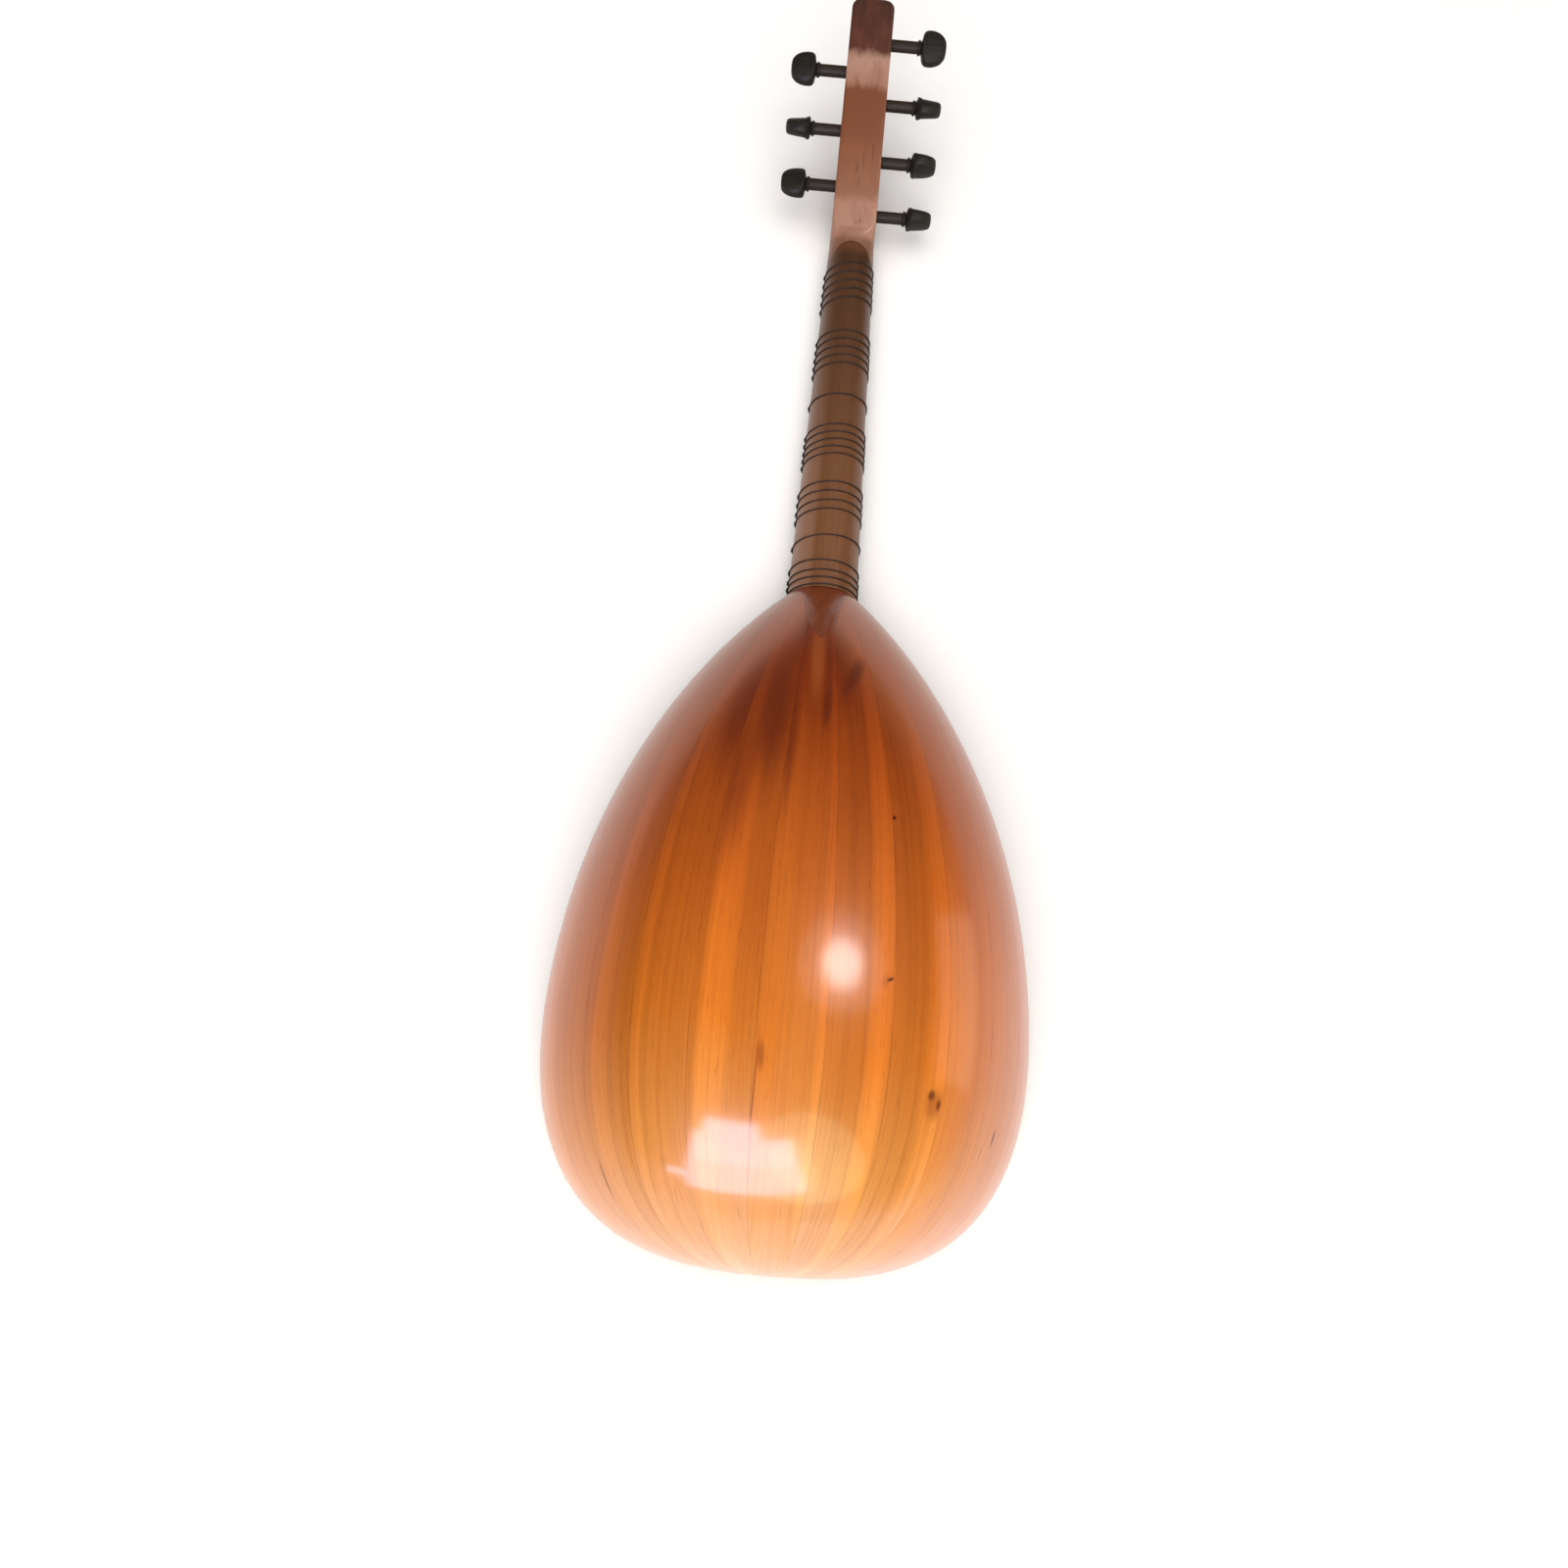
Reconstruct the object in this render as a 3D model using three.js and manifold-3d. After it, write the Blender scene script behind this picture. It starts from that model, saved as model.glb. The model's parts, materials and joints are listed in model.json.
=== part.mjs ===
// A lavta: the long-necked, fretted lute of the oud family, lying face down.
//
// Units are millimetres. +Z is up and away from the soundboard, so the back of the bowl is on top.
// +Y runs from the tail to the head, and +X is the bass side. The plane z = 0 touches the tops of the
// nut and the bridge, which are what the instrument lies on. Sizes along the instrument are given as
// distances from the nut: "along" grows towards the tail, and y = -along inside the instrument group.

import * as THREE from 'three';
import { mergeVertices } from 'three/addons/utils/BufferGeometryUtils.js';
import Module from 'manifold-3d';

const wasm = await Module();
wasm.setup();

// ---- driving dimensions ----

const SCALE_LENGTH = 660; // nut to bridge, the sounding length of the open strings
const GAP = 0.3; // between pieces that touch

const BODY_START = 332.3; // where the bowl meets the neck
const BODY_WIDTH = 297;
const WIDEST_AT = 633.6;
const BODY_END = 775.2;
const SHOULDER_ANGLE = 0.79; // between the bowl's edge and the centreline at the neck, radians
const SHOULDER_PULL = 88.9; // lengths of the outline's curve handles
const WAIST_PULL = 130.5;
const HIP_PULL = 142.1;
const TAIL_PULL = 48.5;
const DEPTH_AT_NECK = 0.83; // depth of the bowl over its half width
const DEPTH_AT_TAIL = 0.94;
const RIB_COUNT = 13;
const RIB_THICKNESS = 2.6;
const RIB_STATIONS = 18;
const RIB_END = 1.86; // where the ribs stop, on the outline's parameter from 0 to 2

const SOUNDBOARD_FRONT = 10; // height of the soundboard's outer face
const SOUNDBOARD_THICKNESS = 2;
const RIM = SOUNDBOARD_FRONT + SOUNDBOARD_THICKNESS + GAP;
const BINDING_WIDTH = 2.7;
const HOLE_AT = 466;
const HOLE_RADIUS = 30;
const BRACES_AT = [410, 513, 556, 604, 704];

const NECK_WIDTH_AT_NUT = 35.4;
const NECK_WIDTH_AT_BODY = 49.4;
const NECK_BACK_AT_NUT = 24.5; // height of the neck's ridge
const NECK_BACK_AT_BODY = 33.2;
const FINGERBOARD_FRONT = 5;
const FINGERBOARD_THICKNESS = 3;
const NECK_FRONT = FINGERBOARD_FRONT + FINGERBOARD_THICKNESS + GAP;
const NUT_LENGTH = 5;
const NECK_STEPS = 10; // facets of its round back
const TONGUE_TOP = 14; // the neck's round tongue in the back of the pegbox root
const TONGUE_FEET = 27;
const TONGUE_HALF_WIDTH = 15.5;
const HEEL_LENGTH = 62; // the dark wedge let into the ribs behind the neck
const HEEL_HALF_WIDTH = 17;

const PEGBOX_TILT = 0.35; // backwards, radians
const PEGBOX_LENGTH = 182.7;
const PEGBOX_HALF_WIDTH = 17.5;
const PEGBOX_END_HALF_WIDTH = 16.9;
const PEGBOX_BACK_THICKNESS = 3.5;
const CHEEK_THICKNESS = 4.5;
const CHEEK_START = 2.6;
const CHEEK_DEPTH = 17.5;
const CHEEK_END_DEPTH = 15.5;
const END_BLOCK_LENGTH = 8;
const END_CORNER = 7;

const PEG_COUNT = 7;
const FIRST_PEG_AT = 14.5; // along the pegbox from the nut
const PEG_PITCH = 21.2;
const PEG_PITCH_GROWTH = 0.32;
const PEG_DEPTH = 10; // of the pegs' axes under the pegbox back
const PEG_SIDES = 12;
const SHAFT_RADIUS = 4.45;
const SHAFT_FAR_RADIUS = 3.8;
const PEG_TURNS = [101, 25, 95, 58, 122, 10, 0]; // how each knob stands, degrees about its own axis
const KNOB_START = 41.2;
const KNOB_LENGTH = 20.2;

const STRING_RADII = [0.3, 0.3, 0.38, 0.38, 0.48, 0.48, 0.6]; // treble to bass
const STRING_AT_NUT = [-12, -8.8, -5.6, -2.4, 2.4, 5.6, 12];
const STRING_PEGS = [1, 3, 5, 6, 4, 2, 0];
const WINDING_AT = [-9.5, -8, -5, 0, 4.5, 7, 9.5];
const BRIDGE_SPREAD = 2.5; // string spacing at the bridge over that at the nut
const STRING_HEIGHT_AT_NUT = 1.6;
const STRING_HEIGHT_AT_BRIDGE = 2.4;
const BRIDGE_HALF_WIDTH = 58;
const BRIDGE_LENGTH = 14;

const FRET_THICKNESS = 0.9;
const FRET_CENTS = [
  [100, 125, 150, 175, 200],
  [300, 325, 350, 375, 400],
  [500],
  [600, 625, 650, 675, 700],
  [800, 833, 867, 900],
  [1000],
  [1100, 1140, 1170, 1200],
];

// ---- materials ----

function wood(color, roughness) {
  return new THREE.MeshStandardMaterial({ color, roughness, metalness: 0 });
}

const MATERIALS = {
  rib: wood(0xc8661c, 0.2),
  ribDark: wood(0xa8501a, 0.2),
  neck: wood(0x8a5630, 0.4),
  heel: wood(0x5a2a14, 0.3),
  pegbox: wood(0x8c4a36, 0.35),
  peg: wood(0x221f1d, 0.45),
  fret: wood(0x2a1c14, 0.6),
  string: new THREE.MeshStandardMaterial({ color: 0xc9c3b4, roughness: 0.35, metalness: 0.5 }),
  soundboard: wood(0xd9b27a, 0.5),
  rosette: wood(0x6b4226, 0.6),
  darkWood: wood(0x3a2216, 0.4),
  blockWood: wood(0xcaa673, 0.7),
  nut: wood(0xe9e2cf, 0.45),
};

const lute = new THREE.Group();
const instrument = new THREE.Group();
const headReach = PEGBOX_LENGTH * Math.cos(PEGBOX_TILT) + CHEEK_END_DEPTH * Math.sin(PEGBOX_TILT);
instrument.position.y = (BODY_END - headReach) / 2;
lute.add(instrument);
const pegbox = new THREE.Group();
pegbox.position.z = NECK_BACK_AT_NUT;
pegbox.rotation.x = PEGBOX_TILT;
instrument.add(pegbox);

function addPiece(parent, name, geometry, material) {
  const mesh = new THREE.Mesh(geometry, material);
  mesh.name = name;
  parent.add(mesh);
  return mesh;
}

// ---- solids ----

function signedVolume(points, triangles) {
  let volume = 0;
  for (const [a, b, c] of triangles) {
    volume += points[a].dot(new THREE.Vector3().crossVectors(points[b], points[c]));
  }
  return volume / 6;
}

// A flat or folded end, as strips between the points that lie opposite each other in a ring.
function capTriangles(count) {
  const triangles = [];
  for (let i = 0; i + 1 <= count - 2 - i; i += 1) {
    const opposite = count - 1 - i;
    triangles.push([i, i + 1, opposite]);
    if (i + 1 < opposite - 1) {
      triangles.push([i + 1, opposite - 1, opposite]);
    }
  }
  return triangles;
}

// A closed solid through rings of points, each ring having the same number of them.
function loft(rings) {
  const count = rings[0].length;
  const points = rings.flat();
  const triangles = [];
  for (let r = 0; r + 1 < rings.length; r += 1) {
    for (let i = 0; i < count; i += 1) {
      const a = r * count + i;
      const b = r * count + ((i + 1) % count);
      triangles.push([a, b, b + count], [a, b + count, a + count]);
    }
  }
  const last = points.length - count;
  capTriangles(count).forEach(([a, b, c]) => {
    triangles.push([a, c, b], [last + a, last + b, last + c]);
  });
  if (signedVolume(points, triangles) < 0) {
    triangles.forEach((t) => t.reverse());
  }
  const geometry = new THREE.BufferGeometry().setFromPoints(points);
  geometry.setIndex(triangles.flat());
  geometry.computeVertexNormals();
  return geometry;
}

function toSolid(geometry) {
  const bare = geometry.clone();
  bare.deleteAttribute('normal');
  bare.deleteAttribute('uv');
  const merged = mergeVertices(bare, 1e-4);
  return new wasm.Manifold(new wasm.Mesh({
    numProp: 3,
    vertProperties: new Float32Array(merged.attributes.position.array),
    triVerts: new Uint32Array(merged.index.array),
  }));
}

function fromSolid(solid) {
  const mesh = solid.getMesh();
  const geometry = new THREE.BufferGeometry();
  geometry.setAttribute('position', new THREE.BufferAttribute(new Float32Array(mesh.vertProperties), 3));
  geometry.setIndex(new THREE.BufferAttribute(new Uint32Array(mesh.triVerts), 1));
  geometry.computeVertexNormals();
  return geometry;
}

function plate(shape, bottom, top) {
  const options = { depth: top - bottom, bevelEnabled: false, curveSegments: 12 };
  return new THREE.ExtrudeGeometry(shape, options).translate(0, 0, bottom);
}

function polygon(points) {
  return new THREE.Shape(points.map(([x, y]) => new THREE.Vector2(x, y)));
}

// A round bar of the given radius along a line of points.
function tube(points, radius, sides) {
  const side = new THREE.Vector3(1, 0, 0);
  const rings = points.map((p, i) => {
    const before = points[Math.max(i - 1, 0)];
    const after = points[Math.min(i + 1, points.length - 1)];
    const ahead = after.clone().sub(before).normalize();
    side.addScaledVector(ahead, -side.dot(ahead)).normalize();
    const up = new THREE.Vector3().crossVectors(ahead, side);
    return Array.from({ length: sides }, (_, k) => {
      const angle = (2 * Math.PI * k) / sides;
      return p.clone().addScaledVector(side, radius * Math.cos(angle)).addScaledVector(up, radius * Math.sin(angle));
    });
  });
  return loft(rings);
}

// ---- bowl ----

const shoulder = new THREE.CubicBezierCurve(
  new THREE.Vector2(NECK_WIDTH_AT_BODY / 2, BODY_START),
  new THREE.Vector2(
    NECK_WIDTH_AT_BODY / 2 + SHOULDER_PULL * Math.sin(SHOULDER_ANGLE),
    BODY_START + SHOULDER_PULL * Math.cos(SHOULDER_ANGLE),
  ),
  new THREE.Vector2(BODY_WIDTH / 2, WIDEST_AT - WAIST_PULL),
  new THREE.Vector2(BODY_WIDTH / 2, WIDEST_AT),
);
const hip = new THREE.CubicBezierCurve(
  new THREE.Vector2(BODY_WIDTH / 2, WIDEST_AT),
  new THREE.Vector2(BODY_WIDTH / 2, WIDEST_AT + HIP_PULL),
  new THREE.Vector2(TAIL_PULL, BODY_END),
  new THREE.Vector2(0, BODY_END),
);

// The soundboard's outline: x is the half width and y the distance along, for q from 0 to 2.
function outline(q) {
  return q <= 1 ? shoulder.getPoint(q) : hip.getPoint(q - 1);
}

function bowlSurface(angle, q) {
  const edge = outline(q);
  const share = (edge.y - BODY_START) / (BODY_END - BODY_START);
  const depth = DEPTH_AT_NECK + (DEPTH_AT_TAIL - DEPTH_AT_NECK) * share;
  return new THREE.Vector3(edge.x * Math.cos(angle), -edge.y, RIM + depth * edge.x * Math.sin(angle));
}

// A point under the bowl's surface, by the given amount along the surface's normal.
function bowlPoint(angle, q, inset) {
  const step = 1e-4;
  const point = bowlSurface(angle, q);
  const across = bowlSurface(angle + step, q).sub(bowlSurface(angle - step, q));
  const ahead = bowlSurface(angle, q + step).sub(bowlSurface(angle, q - step));
  const inwards = new THREE.Vector3().crossVectors(ahead, across).normalize();
  return point.addScaledVector(inwards, inset);
}

function heelHalfWidth(along) {
  return HEEL_HALF_WIDTH * (1 - (along - BODY_START) / HEEL_LENGTH);
}

// Where a line of the bowl at this angle leaves the heel wedge, on the outline's parameter.
function ribStart(angle) {
  let low = 0.002;
  let high = 1;
  const outside = (q) => outline(q).x * Math.abs(Math.cos(angle)) - heelHalfWidth(outline(q).y);
  if (outside(low) >= 0) {
    return low;
  }
  for (let i = 0; i < 40; i += 1) {
    const middle = (low + high) / 2;
    if (outside(middle) < 0) {
      low = middle;
    } else {
      high = middle;
    }
  }
  return high;
}

function rib(index) {
  const from = (Math.PI * index) / RIB_COUNT;
  const to = (Math.PI * (index + 1)) / RIB_COUNT;
  const angles = [from, (from + to) / 2, to];
  const starts = angles.map(ribStart);
  const rings = [];
  for (let s = 0; s <= RIB_STATIONS; s += 1) {
    const outer = [];
    const inner = [];
    angles.forEach((angle, k) => {
      const q = starts[k] + (RIB_END - starts[k]) * (s / RIB_STATIONS);
      const edgeGap = (k - 1) * (GAP / 2) / outline(q).x;
      outer.push(bowlPoint(angle - edgeGap, q, 0));
      inner.unshift(bowlPoint(angle - edgeGap, q, RIB_THICKNESS));
    });
    rings.push([...outer, ...inner]);
  }
  return loft(rings);
}

for (let i = 0; i < RIB_COUNT; i += 1) {
  const name = `rib_${String(i + 1).padStart(2, '0')}`;
  addPiece(instrument, name, rib(i), i % 2 ? MATERIALS.ribDark : MATERIALS.rib);
}

// A solid half-round slice of the bowl, under the surface by the given amount.
function halfRound(q, inset, steps) {
  return Array.from({ length: steps + 1 }, (_, k) => {
    const angle = 0.02 + (Math.PI - 0.04) * (k / steps);
    const p = bowlPoint(angle, q, inset);
    return new THREE.Vector3(p.x, p.y, Math.max(p.z, RIM));
  });
}

// The same slice moved into one upright plane, at the place of its point nearest the tail.
function levelled(ring) {
  const y = Math.min(...ring.map((p) => p.y));
  return ring.map((p) => new THREE.Vector3(p.x, y, p.z));
}

// The outline's parameter at a distance along.
function parameterAt(along) {
  let low = 0;
  let high = 2;
  for (let i = 0; i < 40; i += 1) {
    const middle = (low + high) / 2;
    if (outline(middle).y < along) {
      low = middle;
    } else {
      high = middle;
    }
  }
  return low;
}

function heelCap() {
  const rings = [0.01, 0.2, 0.4, 0.6, 0.78, 0.93].map((share) => {
    const q = parameterAt(BODY_START + HEEL_LENGTH * share);
    const edge = outline(q);
    const spread = Math.asin((heelHalfWidth(edge.y) - GAP) / edge.x);
    const outer = [];
    const inner = [];
    for (let k = 0; k <= 6; k += 1) {
      const angle = Math.PI / 2 + spread * (k / 3 - 1);
      outer.push(bowlPoint(angle, q, 0));
      inner.unshift(bowlPoint(angle, q, RIB_THICKNESS));
    }
    return [...outer, ...inner];
  });
  return loft(rings);
}

function neckBlock() {
  const inset = RIB_THICKNESS + GAP;
  const stations = [0.02, 0.06, 0.1, 0.14];
  return loft(stations.map((q) => levelled(halfRound(q, inset, 10))));
}

function halfDisc(radius, along) {
  return Array.from({ length: 13 }, (_, k) => {
    const angle = (Math.PI * k) / 12;
    return new THREE.Vector3(radius * Math.cos(angle), -along, RIM + DEPTH_AT_TAIL * radius * Math.sin(angle));
  });
}

function endClasp() {
  const inside = outline(RIB_END).y - RIB_THICKNESS;
  const radius = outline(RIB_END).x - 1.5;
  const tip = outline(1.97);
  const rounds = [outline(1.9), outline(1.94)];
  return loft([
    halfDisc(radius, inside),
    halfDisc(radius, outline(RIB_END).y - 0.3),
    ...rounds.map((edge) => halfDisc(edge.x, edge.y)),
    halfDisc(tip.x, tip.y),
  ]);
}

const tailBlockRadius = 38;
addPiece(instrument, 'heel_cap', heelCap(), MATERIALS.heel);
addPiece(instrument, 'neck_block', neckBlock(), MATERIALS.blockWood);
addPiece(instrument, 'end_clasp', endClasp(), MATERIALS.ribDark);
addPiece(
  instrument,
  'tail_block',
  loft([halfDisc(tailBlockRadius, BODY_END - 20), halfDisc(tailBlockRadius, BODY_END - 8)]),
  MATERIALS.blockWood,
);

// ---- soundboard ----

const OUTLINE_STEPS = 32;

// The outline moved inwards, from the neck to the tail, as points with y = -along.
function insetOutline(inset, first, steps) {
  return Array.from({ length: steps + 1 }, (_, i) => {
    const q = first + (2 - first) * (i / steps);
    const curve = q <= 1 ? shoulder : hip;
    const t = q <= 1 ? q : q - 1;
    const point = curve.getPoint(t);
    const tangent = curve.getTangent(t);
    return [Math.max(point.x - tangent.y * inset, 0), -(point.y + tangent.x * inset)];
  });
}

function soundboardHalf(side) {
  const seam = GAP / 2;
  const edge = insetOutline(BINDING_WIDTH + GAP, 0.01, OUTLINE_STEPS).map(([x, y]) => [Math.max(x, seam), y]);
  const points = [[seam, edge[0][1]], ...edge];
  const reach = Math.acos(seam / HOLE_RADIUS);
  for (let k = 0; k <= 10; k += 1) {
    const angle = -reach + (2 * reach * k) / 10;
    points.push([HOLE_RADIUS * Math.cos(angle), -HOLE_AT + HOLE_RADIUS * Math.sin(angle)]);
  }
  const back = SOUNDBOARD_FRONT + SOUNDBOARD_THICKNESS;
  return plate(polygon(points.map(([x, y]) => [side * x, y])), SOUNDBOARD_FRONT, back);
}

function edgeBinding() {
  const outer = insetOutline(0, 0.01, OUTLINE_STEPS);
  const inner = insetOutline(BINDING_WIDTH, 0.01, OUTLINE_STEPS);
  const mirror = (points) => points.slice(0, -1).reverse().map(([x, y]) => [-x, y]);
  const ring = [...outer, ...mirror(outer), ...mirror(inner).reverse(), ...[...inner].reverse()];
  return plate(polygon(ring), SOUNDBOARD_FRONT, SOUNDBOARD_FRONT + SOUNDBOARD_THICKNESS);
}

function rosette() {
  const circle = (radius, sides, cx, cy, turn) => Array.from({ length: sides }, (_, k) => {
    const angle = turn + (2 * Math.PI * k) / sides;
    return [cx + radius * Math.cos(angle), cy + radius * Math.sin(angle)];
  });
  const disc = polygon(circle(HOLE_RADIUS - GAP - 0.2, 24, 0, 0, 0));
  const rows = [[0, 1, 4, 6], [11, 6, 3.9, 5], [21.5, 12, 3.7, 4]];
  rows.forEach(([distance, count, radius, sides]) => {
    for (let k = 0; k < count; k += 1) {
      const turn = (2 * Math.PI * k) / count;
      const hole = circle(radius, sides, distance * Math.cos(turn), distance * Math.sin(turn), turn);
      disc.holes.push(polygon(hole));
    }
  });
  return plate(disc, SOUNDBOARD_FRONT + 0.3, SOUNDBOARD_FRONT + 1.8).translate(0, -HOLE_AT, 0);
}

function brace(along) {
  const width = 6;
  const height = 12;
  const reach = outline(parameterAt(along)).x - RIB_THICKNESS - 4;
  const slope = 18;
  const profile = polygon([
    [-reach, 0], [reach, 0], [reach, 4], [reach - slope, height], [slope - reach, height], [-reach, 4],
  ]);
  const bar = plate(profile, -width / 2, width / 2).rotateX(Math.PI / 2);
  return bar.translate(0, -along, RIM);
}

addPiece(instrument, 'soundboard_bass', soundboardHalf(1), MATERIALS.soundboard);
addPiece(instrument, 'soundboard_treble', soundboardHalf(-1), MATERIALS.soundboard);
addPiece(instrument, 'edge_binding', edgeBinding(), MATERIALS.darkWood);
addPiece(instrument, 'rosette', rosette(), MATERIALS.rosette);
BRACES_AT.forEach((along, i) => {
  addPiece(instrument, `brace_${i + 1}`, brace(along), MATERIALS.blockWood);
});

// ---- neck ----

function neckHalfWidth(along) {
  return (NECK_WIDTH_AT_NUT + (NECK_WIDTH_AT_BODY - NECK_WIDTH_AT_NUT) * (along / BODY_START)) / 2;
}

function neckBack(along) {
  return NECK_BACK_AT_NUT + (NECK_BACK_AT_BODY - NECK_BACK_AT_NUT) * (along / BODY_START);
}

// The neck's D-shaped section, moved outwards, with its flat side at the given height.
function neckSection(along, outwards, front) {
  const half = neckHalfWidth(along) + outwards;
  const base = NECK_FRONT + 2.5;
  const rise = neckBack(along) + outwards - base;
  const points = [[half, front]];
  for (let k = 0; k <= NECK_STEPS; k += 1) {
    const angle = (Math.PI * k) / NECK_STEPS;
    points.push([half * Math.cos(angle), base + rise * Math.sin(angle)]);
  }
  points.push([-half, front]);
  return points;
}

function neckLoft(from, to) {
  const ring = (along) => neckSection(along, 0, NECK_FRONT).map(([x, z]) => new THREE.Vector3(x, -along, z));
  return loft([ring(from), ring(to)]);
}

// Everything on the tail side of the tongue's round outline, which is moved towards the head by a shift.
function tongueSide(shift) {
  const points = [[30, -TONGUE_FEET + shift]];
  for (let k = 0; k <= 12; k += 1) {
    const angle = (Math.PI * k) / 12;
    const rise = (TONGUE_FEET - TONGUE_TOP) * Math.sin(angle);
    points.push([TONGUE_HALF_WIDTH * Math.cos(angle), -TONGUE_FEET + rise + shift]);
  }
  points.push([-30, -TONGUE_FEET + shift], [-30, -400], [30, -400]);
  return toSolid(plate(polygon(points), 0, 60));
}

function neck() {
  const bar = toSolid(neckLoft(8, BODY_START - GAP));
  return fromSolid(bar.intersect(tongueSide(0)));
}

function fingerboard() {
  const start = NUT_LENGTH / 2 + GAP;
  const end = BODY_START - GAP;
  const shape = polygon([
    [-neckHalfWidth(start), -start],
    [-neckHalfWidth(end), -end],
    [neckHalfWidth(end), -end],
    [neckHalfWidth(start), -start],
  ]);
  return plate(shape, FINGERBOARD_FRONT, FINGERBOARD_FRONT + FINGERBOARD_THICKNESS);
}

function nut() {
  const half = NECK_WIDTH_AT_NUT / 2;
  const points = [[-half, NECK_FRONT - GAP], [-half, 0]];
  STRING_AT_NUT.forEach((x, i) => {
    const slot = STRING_RADII[i] + GAP;
    const bottom = STRING_HEIGHT_AT_NUT + slot;
    points.push([x - slot, 0], [x - slot, bottom], [x + slot, bottom], [x + slot, 0]);
  });
  points.push([half, 0], [half, NECK_FRONT - GAP]);
  return plate(polygon(points), -NUT_LENGTH / 2, NUT_LENGTH / 2).rotateX(Math.PI / 2);
}

function fretGroup(cents) {
  const places = cents.map((c) => SCALE_LENGTH * (1 - 2 ** (-c / 1200)));
  const inside = GAP;
  const outside = GAP + FRET_THICKNESS;
  const loops = places.map((along) => {
    const ring = polygon(neckSection(along, outside, FINGERBOARD_FRONT - outside));
    ring.holes.push(polygon(neckSection(along, inside, FINGERBOARD_FRONT - inside)));
    const loop = plate(ring, -FRET_THICKNESS / 2, FRET_THICKNESS / 2).rotateX(Math.PI / 2);
    return toSolid(loop.translate(0, -along, 0));
  });
  const rows = places.slice(1).map((along, i) => {
    const from = places[i];
    const side = neckHalfWidth(from) + inside + FRET_THICKNESS / 2 + 0.1;
    const link = new THREE.BoxGeometry(0.5, along - from, 0.6);
    return toSolid(link.translate(-side, -(from + along) / 2, NECK_FRONT));
  });
  return fromSolid([...loops.slice(1), ...rows].reduce((sum, solid) => sum.add(solid), loops[0]));
}

addPiece(instrument, 'neck', neck(), MATERIALS.neck);
addPiece(instrument, 'fingerboard', fingerboard(), MATERIALS.darkWood);
addPiece(instrument, 'nut', nut(), MATERIALS.nut);
FRET_CENTS.forEach((cents, i) => {
  addPiece(instrument, `frets_${i + 1}`, fretGroup(cents), MATERIALS.fret);
});

// ---- bridge ----

function bridge() {
  const base = SOUNDBOARD_FRONT - GAP;
  const reach = BRIDGE_HALF_WIDTH;
  const profile = polygon([
    [-reach, base], [-reach, base - 2], [12 - reach, base - 4], [20 - reach, 0],
    [reach - 20, 0], [reach - 12, base - 4], [reach, base - 2], [reach, base],
  ]);
  STRING_AT_NUT.forEach((x) => {
    const hole = new THREE.Path();
    hole.absarc(x * BRIDGE_SPREAD, STRING_HEIGHT_AT_BRIDGE, 1.3, 0, 2 * Math.PI);
    const rounded = hole.getPoints(2).slice(0, -1);
    profile.holes.push(new THREE.Path(rounded));
  });
  const bar = plate(profile, 0, BRIDGE_LENGTH).rotateX(Math.PI / 2);
  return bar.translate(0, -SCALE_LENGTH, 0);
}

addPiece(instrument, 'bridge', bridge(), MATERIALS.darkWood);

// ---- pegbox, in its own tilted group: y runs from the nut to the end, and z = 0 is its back ----

function pegboxHalfWidth(y) {
  return PEGBOX_HALF_WIDTH + (PEGBOX_END_HALF_WIDTH - PEGBOX_HALF_WIDTH) * (y / PEGBOX_LENGTH);
}

function roundedEnd(start) {
  const shape = new THREE.Shape();
  const corner = PEGBOX_END_HALF_WIDTH - END_CORNER;
  shape.moveTo(-pegboxHalfWidth(start), start);
  shape.lineTo(pegboxHalfWidth(start), start);
  shape.lineTo(PEGBOX_END_HALF_WIDTH, PEGBOX_LENGTH - END_CORNER);
  shape.absarc(corner, PEGBOX_LENGTH - END_CORNER, END_CORNER, 0, Math.PI / 2);
  shape.absarc(-corner, PEGBOX_LENGTH - END_CORNER, END_CORNER, Math.PI / 2, Math.PI);
  return new THREE.Shape(shape.getPoints(4));
}

function pegboxBack() {
  const root = toSolid(neckLoft(-3, 30)).subtract(tongueSide(GAP));
  const back = plate(roundedEnd(0.6), -PEGBOX_BACK_THICKNESS, 0);
  back.rotateX(PEGBOX_TILT).translate(0, 0, NECK_BACK_AT_NUT);
  return fromSolid(root.add(toSolid(back)));
}

function pegPlace(index) {
  return FIRST_PEG_AT + PEG_PITCH * index + PEG_PITCH_GROWTH * index * index;
}

// Pegs alternate: those at 0, 2, 4 and 6 have their knobs on the bass side.
function pegSide(index) {
  return index % 2 ? -1 : 1;
}

function cheek(side) {
  const top = -PEGBOX_BACK_THICKNESS - GAP;
  const end = PEGBOX_LENGTH - END_BLOCK_LENGTH - GAP;
  const profile = polygon([[CHEEK_START, top], [CHEEK_START, -CHEEK_DEPTH], [end, -CHEEK_END_DEPTH], [end, top]]);
  for (let i = 0; i < PEG_COUNT; i += 1) {
    const shaft = pegSide(i) === side ? SHAFT_RADIUS : SHAFT_FAR_RADIUS + 0.15;
    const hole = new THREE.Path();
    hole.absarc(pegPlace(i), -PEG_DEPTH, shaft + 0.4, 0, 2 * Math.PI);
    profile.holes.push(new THREE.Path(hole.getPoints(8).slice(0, -1)));
  }
  const board = plate(profile, 0, CHEEK_THICKNESS).rotateX(Math.PI / 2).rotateZ(Math.PI / 2);
  const middle = PEGBOX_END_HALF_WIDTH - CHEEK_THICKNESS;
  return board.translate(side > 0 ? middle : -PEGBOX_END_HALF_WIDTH, 0, 0);
}

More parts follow.
